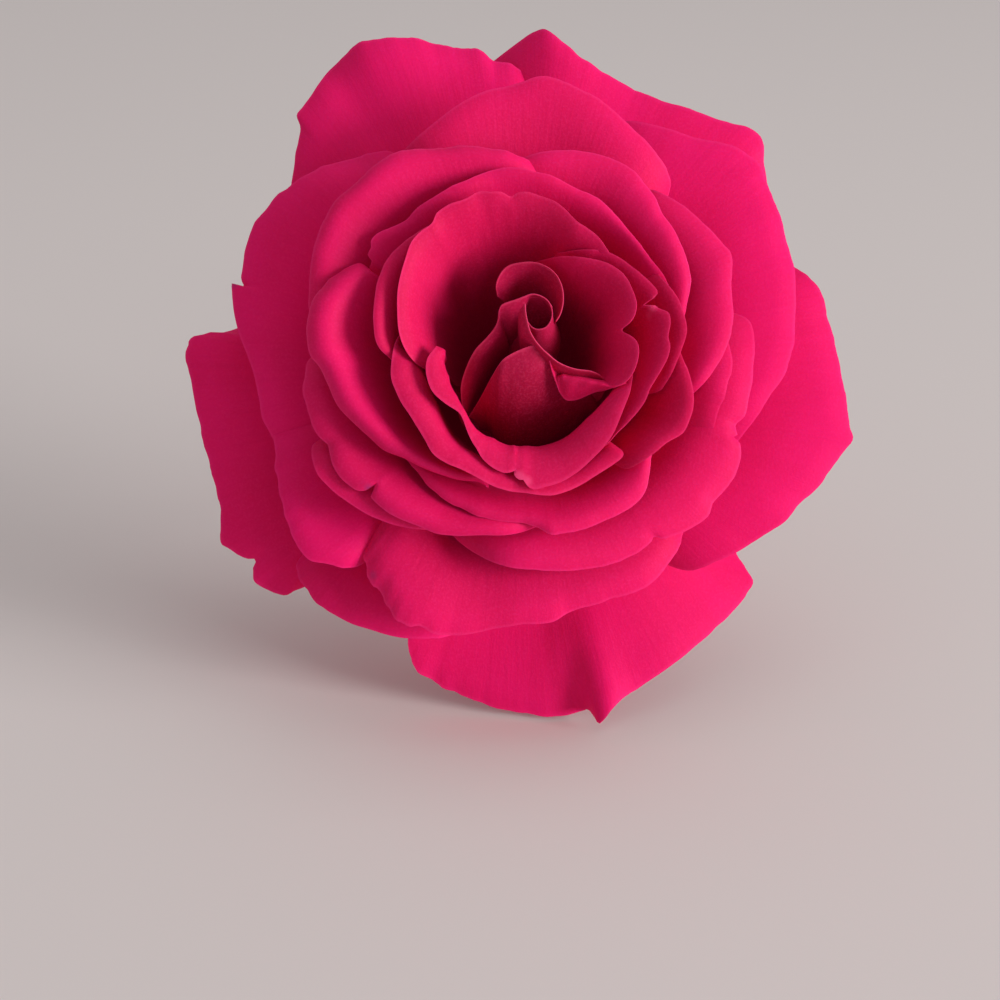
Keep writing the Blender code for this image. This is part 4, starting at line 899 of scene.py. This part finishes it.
TURNED_IN = {
    "cup_right_end": [
        [(1.9, 0.2, 12), (6.6, -0.9, 33), (5.6, -1.6, 39), (5, -1.9, 42.5), (4.6, -2.3, 44.9)],
        [(1.9, 0.2, 12), (7, -1.7, 33), (5.9, -2.6, 39), (5.3, -3, 42.3), (4.9, -3.3, 44.4)],
        [(2, 0.2, 12), (7.4, -2.2, 33), (6.2, -3.4, 39.1), (5.5, -4, 42.3), (5.2, -4.4, 43.9)],
        [(2.2, 0.2, 12), (7.8, -2.4, 33), (6.5, -4, 39.4), (5.8, -5, 42.7), (5.5, -5.3, 43.3)],
        [(2.3, 0.2, 12), (8.3, -2.5, 33), (6.9, -4.1, 39.7), (6.2, -5.2, 43.3), (5.9, -6.5, 42.5)],
        [(2.4, 0.2, 12), (8.9, -2.6, 33), (7.4, -4.1, 40), (6.7, -5.2, 43.7), (6.4, -7.5, 41.5)],
        [(2.5, 0, 12), (9.8, -2.7, 33), (8.5, -4.4, 40.5), (7.8, -5.7, 44), (7.4, -8.5, 40.8)],
        [(2.7, 0, 12), (11, -3.1, 33), (10, -4.7, 41), (9.2, -5.9, 44.2), (9.1, -8.5, 41)],
        [(2.9, 0, 12), (12.1, -3.6, 33), (11.5, -5.1, 41.5), (11, -6.4, 44.6), (11.2, -7.8, 42)],
        [(3, -0.1, 12), (13.4, -4.2, 33), (13.1, -5.5, 42), (12.7, -6.8, 44.9), (13, -7.4, 43.4)],
        [(3.2, -0.1, 12), (14.3, -4.7, 33), (14.5, -6, 42.5), (14.5, -7.2, 45.2), (14.9, -7.3, 44.5)],
        [(3.4, -0.1, 12), (15, -4.9, 33), (15.9, -5.7, 42.5), (16.4, -6.7, 45.6), (16.7, -6.8, 45.4)],
    ],
}
make_furled(HEART, PETAL_SKINS["heart"], "heart")
make_furled(TURNED_IN, PETAL_SKINS["cup"], "petals")

# %% [markdown]
# ## The hip and its sepals
#
# Under the petals sits the green hip, which would become the fruit, and on its rim five sepals
# that once closed round the bud. They have bent back. A sepal is a long pointed leaf, covered
# with down, with a pale vein along its middle and a thin reddish edge, and on some of them the
# edge carries small lobes. The hip is a turned shape, so a profile spun round the axis makes it.
# A sepal is a grid, like a petal, laid along a curve that has two ends and two handles.

# %% Hip finish
HIP_GREENS = ((0.13, 0.24, 0.05), (0.07, 0.15, 0.03))


def hip_finish():
    """Mottled leaf green with a slight waxy shine."""
    skin = Finish("hip_green", Roughness=0.45, Subsurface_Weight=0.08, Subsurface_Scale=0.001)
    place = skin.place()
    blotches = skin.noise(place, 160.0, 4.0, 0.6)
    fine = skin.noise(place, 2400.0, 2.0)
    skin.set("Base Color", skin.mix(skin.span(blotches * 0.8 + fine * 0.2, 0.35, 0.68), *HIP_GREENS))
    skin.bump(blotches * 0.6 + fine * 0.4, 0.3, 0.0003)
    return skin.material


HIP_SKIN = hip_finish()
print("finish", HIP_SKIN.name)

# %% Sepal finish
SEPAL_GREEN, SEPAL_DOWN, SEPAL_RIB = (0.11, 0.22, 0.045), (0.20, 0.31, 0.11), (0.07, 0.15, 0.03)
SEPAL_VEIN, SEPAL_EDGE = (0.24, 0.30, 0.10), (0.24, 0.07, 0.05)
RIBS_ACROSS, RIBS_ALONG = 14.0, 6.0


def sepal_finish():
    """Downy green with slanting ribs, a pale middle vein and a red edge, by the sepal's UV map."""
    skin = Finish("sepal_downy", Roughness=0.7, Sheen_Weight=0.2, Subsurface_Weight=0.08,
                  Subsurface_Scale=0.001)
    grown = skin.place("UV")
    from_middle, along = skin.axis(grown, "X") - 0.5, skin.axis(grown, "Y")
    off_middle = from_middle.math("ABSOLUTE", from_middle)
    slant = off_middle * RIBS_ACROSS - along * RIBS_ALONG
    rib = skin.noise(skin.node("ShaderNodeCombineXYZ", inputs={0: slant}), 1.0, 2.0)
    down = skin.noise(skin.place(), 1800.0, 3.0)
    green = skin.mix(skin.span(down, 0.4, 0.7), SEPAL_GREEN, SEPAL_DOWN)
    green = skin.mix(skin.span(rib, 0.5, 0.7, 0.0, 0.4), green, SEPAL_RIB)
    green = skin.mix(skin.span(off_middle, 0.0, 0.05, 0.6, 0.0), green, SEPAL_VEIN)
    skin.set("Base Color", skin.mix(skin.span(off_middle, 0.44, 0.5, 0.0, 0.5), green, SEPAL_EDGE))
    skin.bump(down + rib, 0.35, 0.0003)
    return skin.material


SEPAL_SKIN = sepal_finish()
print("finish", SEPAL_SKIN.name)

# %% Hip and receptacle, turned round the bloom's axis
HIP = [
    (0.2, 5.2), (0.0, 6.1), (-1.0, 6.6), (-2.6, 6.9), (-4.6, 7.0), (-6.6, 6.8),
    (-8.6, 6.2), (-10.4, 5.3), (-12.0, 4.3), (-13.2, 3.6), (-14.2, 3.2),
]
RECEPTACLE = [(0.5, 5.6), (2.6, 7.4), (5.2, 6.2)]
TURNED_SIDES = 40
WELD = 0.001


def turned(profile):
    """A closed solid turned round the bloom's axis from (height, radius) stations."""
    bm = bmesh.new()
    stations = [(profile[0][0], 0), *profile, (profile[-1][0], 0)]
    verts = [bm.verts.new((radius, 0, height)) for height, radius in stations]
    edges = [bm.edges.new(pair) for pair in zip(verts, verts[1:])]
    bmesh.ops.spin(bm, geom=verts + edges, cent=(0, 0, 0), axis=(0, 0, 1), angle=2 * math.pi,
                   steps=TURNED_SIDES, use_merge=True)
    bmesh.ops.remove_doubles(bm, verts=bm.verts[:], dist=WELD)
    for vert in bm.verts:
        vert.co = in_bloom(*vert.co)
    bm.normal_update()
    bmesh.ops.recalc_face_normals(bm, faces=bm.faces[:])
    return bm


hip = finished("hip", turned(HIP), HIP_SKIN)
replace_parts(hip, "calyx")
receptacle = finished("receptacle", turned(RECEPTACLE), PETAL_SKINS["heart"])
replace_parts(receptacle, "petals")
print("hip", round(max(radius for _, radius in HIP) * 2, 1), "mm across")

# %% The shape of a sepal
SEPAL_FIRST = 54
SEPAL_WIDTH = 9.5
SEPAL_TIP = 0.25
SEPAL_TAPER = 0.8
SEPAL_WAIST = 0.75
SEPAL_BULGE = 1.1
SEPAL_CUPPING = 0.8
SEPAL_TWIST = 1.2
SEPAL_CURVE = [(4.5, -2.8), (12.0, 0.6), (21.0, -6.0), (22.0, -20.0)]
SEPAL_THICKNESS = 0.6
SEPAL_THINNING = 0.6
SEPAL_LOBES = [3, 5, 0, 4, 0]
LOBE_LENGTH, LOBE_SHARPNESS, LOBE_START = 1.6, 6, 0.3


def sepal_half_width(along, lobes):
    """Half the width: a narrow foot, a long tip and, on some, small lobes."""
    plain = SEPAL_WIDTH / 2 * (1 - along) ** SEPAL_TAPER * (SEPAL_WAIST + SEPAL_BULGE * along) + SEPAL_TIP
    lobe = max(0, math.sin(math.pi * (lobes * along + LOBE_START))) ** LOBE_SHARPNESS if lobes else 0
    return plain + LOBE_LENGTH * lobe * math.sin(math.pi * along)


def sepal_point(azimuth, across, along, lobes, seed):
    """A point of a sepal: across runs from -1 to 1 over its width, along from foot to tip."""
    down = 1 - along
    weights = (down**3, 3 * down**2 * along, 3 * down * along**2, along**3)
    radius = sum(weight * place[0] for weight, place in zip(weights, SEPAL_CURVE))
    height = sum(weight * place[1] for weight, place in zip(weights, SEPAL_CURVE))
    side = across * sepal_half_width(along, lobes)
    twist = SEPAL_TWIST * noise.noise(Vector((seed, along * 2.5, 0)))
    height += SEPAL_CUPPING * across**2 + twist * across * along
    turn = math.radians(azimuth)
    right = radius * math.cos(turn) - side * math.sin(turn)
    up = radius * math.sin(turn) + side * math.cos(turn)
    return in_bloom(right, up, height)


def sepal_thickness(along):
    return SEPAL_THICKNESS * (1 - SEPAL_THINNING * along)


# %% Five sepals round the hip
SEPAL_GRID = {"x_segments": 12, "y_segments": 70}
SEPAL_SEED_STEP = 3.7


def make_sepal(number, lobes):
    """One of the sepals, at its place in the ring, with its lobes along each edge."""
    bm = bmesh.new()
    bm.loops.layers.uv.new("sepal")
    bmesh.ops.create_grid(bm, **SEPAL_GRID, size=0.5, calc_uvs=True)
    uv = bm.loops.layers.uv.active
    azimuth = SEPAL_FIRST + 360 * number / len(SEPAL_LOBES)
    for vert in bm.verts:
        for loop in vert.link_loops:
            loop[uv].uv = (vert.co.x + 0.5, vert.co.y + 0.5)
        along = vert.co.y + 0.5
        vert.co = sepal_point(azimuth, 2 * vert.co.x, along, lobes, number * SEPAL_SEED_STEP)
    face_along(bm, BLOOM_AXIS)
    thicken(bm, sepal_thickness)
    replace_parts(finished(f"sepal_{number}", bm, SEPAL_SKIN), "calyx")


for number, lobes in enumerate(SEPAL_LOBES):
    make_sepal(number, lobes)
print(len(SEPAL_LOBES), "sepals")

# %% [markdown]
# ## The stem
#
# A rose's stem is woody under a green skin, a little zigzag from one old leaf to the next, and
# armed with prickles. A prickle isn't a branch: it is a growth of the skin, so it sits on a long
# base along the stem and hooks down, towards the roots. Here a round is carried along a curve,
# station by station, which is what a tube is. A curve with a bevel would do it too, but the swollen
# scars and the slanting cut are easier to give to a mesh.

# %% Stem finish
STEM_GREENS = ((0.15, 0.27, 0.06), (0.08, 0.17, 0.035))
STEM_FLUSH, STEM_DOTS = (0.22, 0.10, 0.05), (0.30, 0.27, 0.14)
STEM_LINES = (900.0, 60.0, 900.0)


def stem_finish():
    """Green skin with fine lengthwise lines, red in places, with small pale dots."""
    skin = Finish("stem_skin", Roughness=0.42, Coat_Weight=0.08, Coat_Roughness=0.3)
    place = skin.place()
    lines = skin.node("ShaderNodeMapping", inputs={"Vector": place, "Scale": STEM_LINES})
    grain = skin.noise(lines, 1.0, 3.0)
    flush = skin.noise(place, 38.0, 3.0)
    dots = skin.noise(place, 900.0, 1.0)
    green = skin.mix(skin.span(grain, 0.3, 0.7), *STEM_GREENS)
    green = skin.mix(skin.span(flush, 0.5, 0.72, 0.0, 0.6), green, STEM_FLUSH)
    skin.set("Base Color", skin.mix(skin.span(dots, 0.66, 0.74, 0.0, 0.5), green, STEM_DOTS))
    skin.bump(grain * 0.7 + dots * 0.3, 0.4, 0.0003)
    return skin.material


STEM_SKIN = stem_finish()
print("finish", STEM_SKIN.name)

# %% Finishes of the prickles and of the cut wood
PRICKLE_REDS, PRICKLE_FOOT = ((0.27, 0.055, 0.035), (0.34, 0.13, 0.06)), (0.16, 0.20, 0.06)
WOOD_PALES = ((0.62, 0.60, 0.36), (0.42, 0.46, 0.22))


def prickle_finish():
    """Dull red at the point and greener at the base, by the prickle's own UV map."""
    skin = Finish("prickle_red", Roughness=0.4, Coat_Weight=0.1, Coat_Roughness=0.3)
    rise = skin.axis(skin.place("UV"), "Y")
    grain = skin.noise(skin.place(), 1500.0, 2.0)
    red = skin.mix(skin.span(grain, 0.35, 0.7), *PRICKLE_REDS)
    skin.set("Base Color", skin.mix(skin.span(rise, 0.15, 0.6), PRICKLE_FOOT, red))
    skin.bump(grain, 0.2, 0.0002)
    return skin.material


def wood_finish():
    """Pale, slightly wet wood of the fresh cut."""
    skin = Finish("cut_wood", Roughness=0.5)
    fibres = skin.noise(skin.place(), 2200.0, 4.0, 0.7)
    skin.set("Base Color", skin.mix(skin.span(fibres, 0.35, 0.7), *WOOD_PALES))
    skin.bump(fibres, 0.5, 0.0003)
    return skin.material


PRICKLE_SKIN, WOOD_SKIN = prickle_finish(), wood_finish()
print("finishes", PRICKLE_SKIN.name, "and", WOOD_SKIN.name)

# %% The stem's middle line and thickness
STEM_TOP = -14.3
STEM_REACH = 158.0
STEM_PULL = 52.0
STEM_FLAT = Vector((-0.14, 1.0, -0.03))
STEM_LEAN = -15.0
STEM_SWAY = 0.9
STEM_RADII = (2.5, 2.9)
STEM_SLANT = 0.9
STEM_SCARS = [0.24, 0.53, 0.82]
STEM_NUDGE = 0.002
SCAR_LENGTH = 0.016
SCAR_SWELL = 0.7


def on_stem(share):
    """The stem's middle, in metres: it leaves the hip along the bloom's axis and comes down to lie flat."""
    root = in_bloom(0, 0, STEM_TOP)
    cut = Vector((STEM_LEAN, BLOOM_BASE.y + STEM_REACH, STEM_RADII[1])) * MM
    leaving = root - STEM_PULL * MM * BLOOM_AXIS
    coming = cut - STEM_PULL * MM * STEM_FLAT.normalized()
    left = 1 - share
    point = left**3 * root + 3 * left**2 * share * leaving + 3 * left * share**2 * coming + share**3 * cut
    point.x += STEM_SWAY * MM * math.sin(3 * math.pi * share)
    return point


def stem_radius(share):
    """The stem thickens a little to its cut end, and swells where a leaf grew."""
    radius = STEM_RADII[0] + (STEM_RADII[1] - STEM_RADII[0]) * share
    swelling = sum(math.exp(-(((share - scar) / SCAR_LENGTH) ** 2)) for scar in STEM_SCARS)
    return (radius + SCAR_SWELL * swelling) * MM


def stem_heading(share):
    """The stem's direction, from a place just before to one just after."""
    return (on_stem(min(1, share + STEM_NUDGE)) - on_stem(max(0, share - STEM_NUDGE))).normalized()


# %% The stem itself
STEM_SIDES = 28
STEM_STATIONS = 150
BARK, WOOD, PITH_SUNK = 0.45, 1.2, 0.15


def stem_start(bm):
    """The round at the hip, turned to face along the stem."""
    facing = Vector((0, 0, 1)).rotation_difference(stem_heading(0)).to_matrix().to_4x4()
    bmesh.ops.create_circle(bm, cap_ends=True, segments=STEM_SIDES, radius=stem_radius(0),
                            matrix=Matrix.Translation(on_stem(0)) @ facing)
    return bm.faces[:]


def stem_step(before, after):
    """The move, turn and growth that carry the round from one share of the stem to the next."""
    turn = stem_heading(before).rotation_difference(stem_heading(after)).to_matrix().to_4x4()
    growth = Matrix.Scale(stem_radius(after) / stem_radius(before), 4)
    return Matrix.Translation(on_stem(after)) @ turn @ growth @ Matrix.Translation(-on_stem(before))


def stem_tube(bm):
    """The round carried along the middle line, with the slanting cut at its end."""
    cap = stem_start(bm)
    for station in range(STEM_STATIONS):
        grown = bmesh.ops.extrude_face_region(bm, geom=cap)["geom"]
        if station > 0:
            bmesh.ops.delete(bm, geom=cap, context="FACES_ONLY")
        ring = [part for part in grown if isinstance(part, bmesh.types.BMVert)]
        cap = [part for part in grown if isinstance(part, bmesh.types.BMFace)]
        step = stem_step(station / STEM_STATIONS, (station + 1) / STEM_STATIONS)
        bmesh.ops.transform(bm, matrix=step, verts=ring)
    for vert in ring:
        vert.co += stem_heading(1) * STEM_SLANT * (vert.co.z - on_stem(1).z)
    return cap


def cut_end(bm, cut_face):
    """A rim of green skin round the wood, and a pith that has dried and sunk a little."""
    bmesh.ops.inset_region(bm, faces=cut_face, thickness=BARK * MM)
    for face in cut_face:
        face.material_index = 1
    bmesh.ops.inset_region(bm, faces=cut_face, thickness=WOOD * MM, depth=-PITH_SUNK * MM)


bm = bmesh.new()
cut_end(bm, stem_tube(bm))
for vert in bm.verts:
    vert.co.z = max(vert.co.z, 0)
bm.normal_update()
bmesh.ops.recalc_face_normals(bm, faces=bm.faces[:])
stem = finished("stem_stalk", bm, STEM_SKIN)
stem.data.materials.append(WOOD_SKIN)
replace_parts(stem, "stem")
print("stem", STEM_STATIONS, "stations")

# %% [markdown]
# A prickle is a cone whose points are moved by a short formula: flattened, drawn in at the waist
# and hooked. The prickles stand round the stem by the golden angle, as leaves on a plant do, and
# leave the side free that lies on the table.

# %% Prickles
PRICKLE_COUNT = 9
PRICKLE_FIRST = 0.09
PRICKLE_LENGTH = 6.0
PRICKLE_SUNK = 1.2
PRICKLE_BASE = 1.5
PRICKLE_POINT = 0.1
PRICKLE_STRETCH = 1.35
PRICKLE_THIN = 0.65
PRICKLE_WAIST = 0.35
PRICKLE_HOOK = 0.35
PRICKLE_SIDES = 16
PRICKLE_CUTS = 9
PRICKLE_LOWEST = -20
GOLDEN_ANGLE = 137.5


def thorn():
    """A slim cone with rings along its shaft, so that it can be bent."""
    bm = bmesh.new()
    bm.loops.layers.uv.new("prickle")
    bmesh.ops.create_cone(bm, cap_ends=True, segments=PRICKLE_SIDES, radius1=PRICKLE_BASE,
                          radius2=PRICKLE_POINT, depth=PRICKLE_LENGTH)
    shaft = [edge for edge in bm.edges if abs(edge.verts[0].co.z - edge.verts[1].co.z) > 1]
    bmesh.ops.subdivide_edges(bm, edges=shaft, cuts=PRICKLE_CUTS)
    return bm


def make_prickle(name, share, turn):
    """A flattened thorn, sunk in the stem and hooked towards its cut end."""
    bm = thorn()
    uv = bm.loops.layers.uv.active
    along = stem_heading(share)
    side = Vector((0, 0, 1)).cross(along).normalized()
    out = Matrix.Rotation(math.radians(turn), 3, along) @ side
    across = out.cross(along)
    root = on_stem(share) + out * (stem_radius(share) - PRICKLE_SUNK * MM)
    for vert in bm.verts:
        rise = vert.co.z + PRICKLE_LENGTH / 2
        for loop in vert.link_loops:
            loop[uv].uv = (0.5, rise / PRICKLE_LENGTH)
        waist = 1 - PRICKLE_WAIST * math.sin(math.pi * rise / PRICKLE_LENGTH)
        hook = PRICKLE_HOOK * rise**2 / PRICKLE_LENGTH
        vert.co = root + MM * (
            (vert.co.x * PRICKLE_STRETCH * waist + hook) * along
            + vert.co.y * PRICKLE_THIN * waist * across + rise * out
        )
    bm.normal_update()
    bmesh.ops.recalc_face_normals(bm, faces=bm.faces[:])
    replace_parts(finished(name, bm, PRICKLE_SKIN), "stem")


for i in range(PRICKLE_COUNT):
    share = PRICKLE_FIRST + (1 - 2 * PRICKLE_FIRST) * i / (PRICKLE_COUNT - 1)
    turn = PRICKLE_LOWEST + (GOLDEN_ANGLE * i) % (180 - 2 * PRICKLE_LOWEST)
    make_prickle(f"prickle_{i}", share, turn)
print(PRICKLE_COUNT, "prickles")

# %% [markdown]
# ## Table, light and camera
#
# The rose lies on a plain pale surface. The light is that of a big window to the right and a
# little above, which leaves the left side in soft shade; a weak lamp overhead and a pale sky keep
# the shadows open. A picture of a sky could light the flower too, but a lamp can be moved until
# each shadow falls where it should. A narrow spread keeps the lamps' light off the floor beside
# them. The camera looks down on the bloom from in front, with a long lens from not far away, so
# the near petals are a little larger than the far ones.

# %% A pale floor
FLOOR_SIZE = 6.0
FLOOR_TINTS = ((0.73, 0.68, 0.668), (0.765, 0.71, 0.70))
floor_paint = Finish("floor_pale", Roughness=0.9, Specular_IOR_Level=0.1)
tint = floor_paint.noise(floor_paint.place(), 1.5, 2.0)
floor_paint.set("Base Color", floor_paint.mix(tint, *FLOOR_TINTS))
bm = bmesh.new()
bmesh.ops.create_grid(bm, x_segments=2, y_segments=2, size=FLOOR_SIZE / 2)
floor_mesh = bpy.data.meshes.new("floor")
bm.to_mesh(floor_mesh)
bm.free()
floor_mesh.materials.append(floor_paint.material)
floor = bpy.data.objects.new("floor", floor_mesh)
bpy.context.scene.collection.objects.link(floor)
floor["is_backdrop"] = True
print("floor", FLOOR_SIZE, "m across")

# %% Lamps
TARGET = BLOOM_BASE * MM
LIGHT_SPREAD = math.radians(80)
Lamp = namedtuple("Lamp", "place watts width colour")
LAMPS = {
    "window": Lamp((1.87, -1.05, 0.48), 11.2, 1.0, (1.0, 0.97, 0.96)),
    "above": Lamp((0.3, -0.1, 1.3), 0.45, 0.9, (1.0, 0.98, 0.97)),
}


def hang(name, lamp):
    """A square lamp that faces the middle of the bloom."""
    light = bpy.data.lights.new(name, "AREA")
    light.energy, light.size, light.color = lamp.watts, lamp.width, lamp.colour
    light.spread = LIGHT_SPREAD
    holder = bpy.data.objects.new(name, light)
    holder.location = lamp.place
    holder.rotation_euler = (TARGET - Vector(lamp.place)).to_track_quat("-Z", "Y").to_euler()
    bpy.context.scene.collection.objects.link(holder)


for name, lamp in LAMPS.items():
    hang(name, lamp)
print("lamps", ", ".join(LAMPS))

# %% Sky
SKY = (0.95, 0.93, 0.93, 1)
SKY_STRENGTH = 0.45
world = bpy.data.worlds.new("room")
world.use_nodes = True
background = world.node_tree.nodes["Background"]
background.inputs["Color"].default_value = SKY
background.inputs["Strength"].default_value = SKY_STRENGTH
bpy.context.scene.world = world
bpy.context.scene.view_settings.view_transform = "Standard"
print("sky at", SKY_STRENGTH)

# %% Camera
CAMERA_RISE = math.radians(23)
CAMERA_AWAY = 0.450
LENS, SENSOR, IMAGE = 93.0, 36.0, 1000
BLOOM_AT = (519, 401)

lens = bpy.data.cameras.new("camera")
lens.lens, lens.sensor_width = LENS, SENSOR
camera = bpy.data.objects.new("camera", lens)
bpy.context.scene.collection.objects.link(camera)
toward = Vector((0, -math.cos(CAMERA_RISE), math.sin(CAMERA_RISE)))
pixel = SENSOR / LENS / IMAGE
right = Vector((1, 0, 0))
upward = right.cross(-toward)
off_right, off_up = (BLOOM_AT[0] - IMAGE / 2) * pixel, (IMAGE / 2 - BLOOM_AT[1]) * pixel
looking = (-toward - right * off_right - upward * off_up).normalized()
camera.location = TARGET + toward * CAMERA_AWAY
camera.rotation_mode = "QUATERNION"
camera.rotation_quaternion = looking.to_track_quat("-Z", "Y")
bpy.context.scene.camera = camera
print("camera", CAMERA_AWAY, "m from the base of the bloom")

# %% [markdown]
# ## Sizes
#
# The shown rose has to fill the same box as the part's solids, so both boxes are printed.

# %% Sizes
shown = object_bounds()
for name, (low, high) in (("solid", cad_box), ("shown", shown)):
    print(name, "box", [round((b - a) / MM, 1) for a, b in zip(low, high)], "mm")
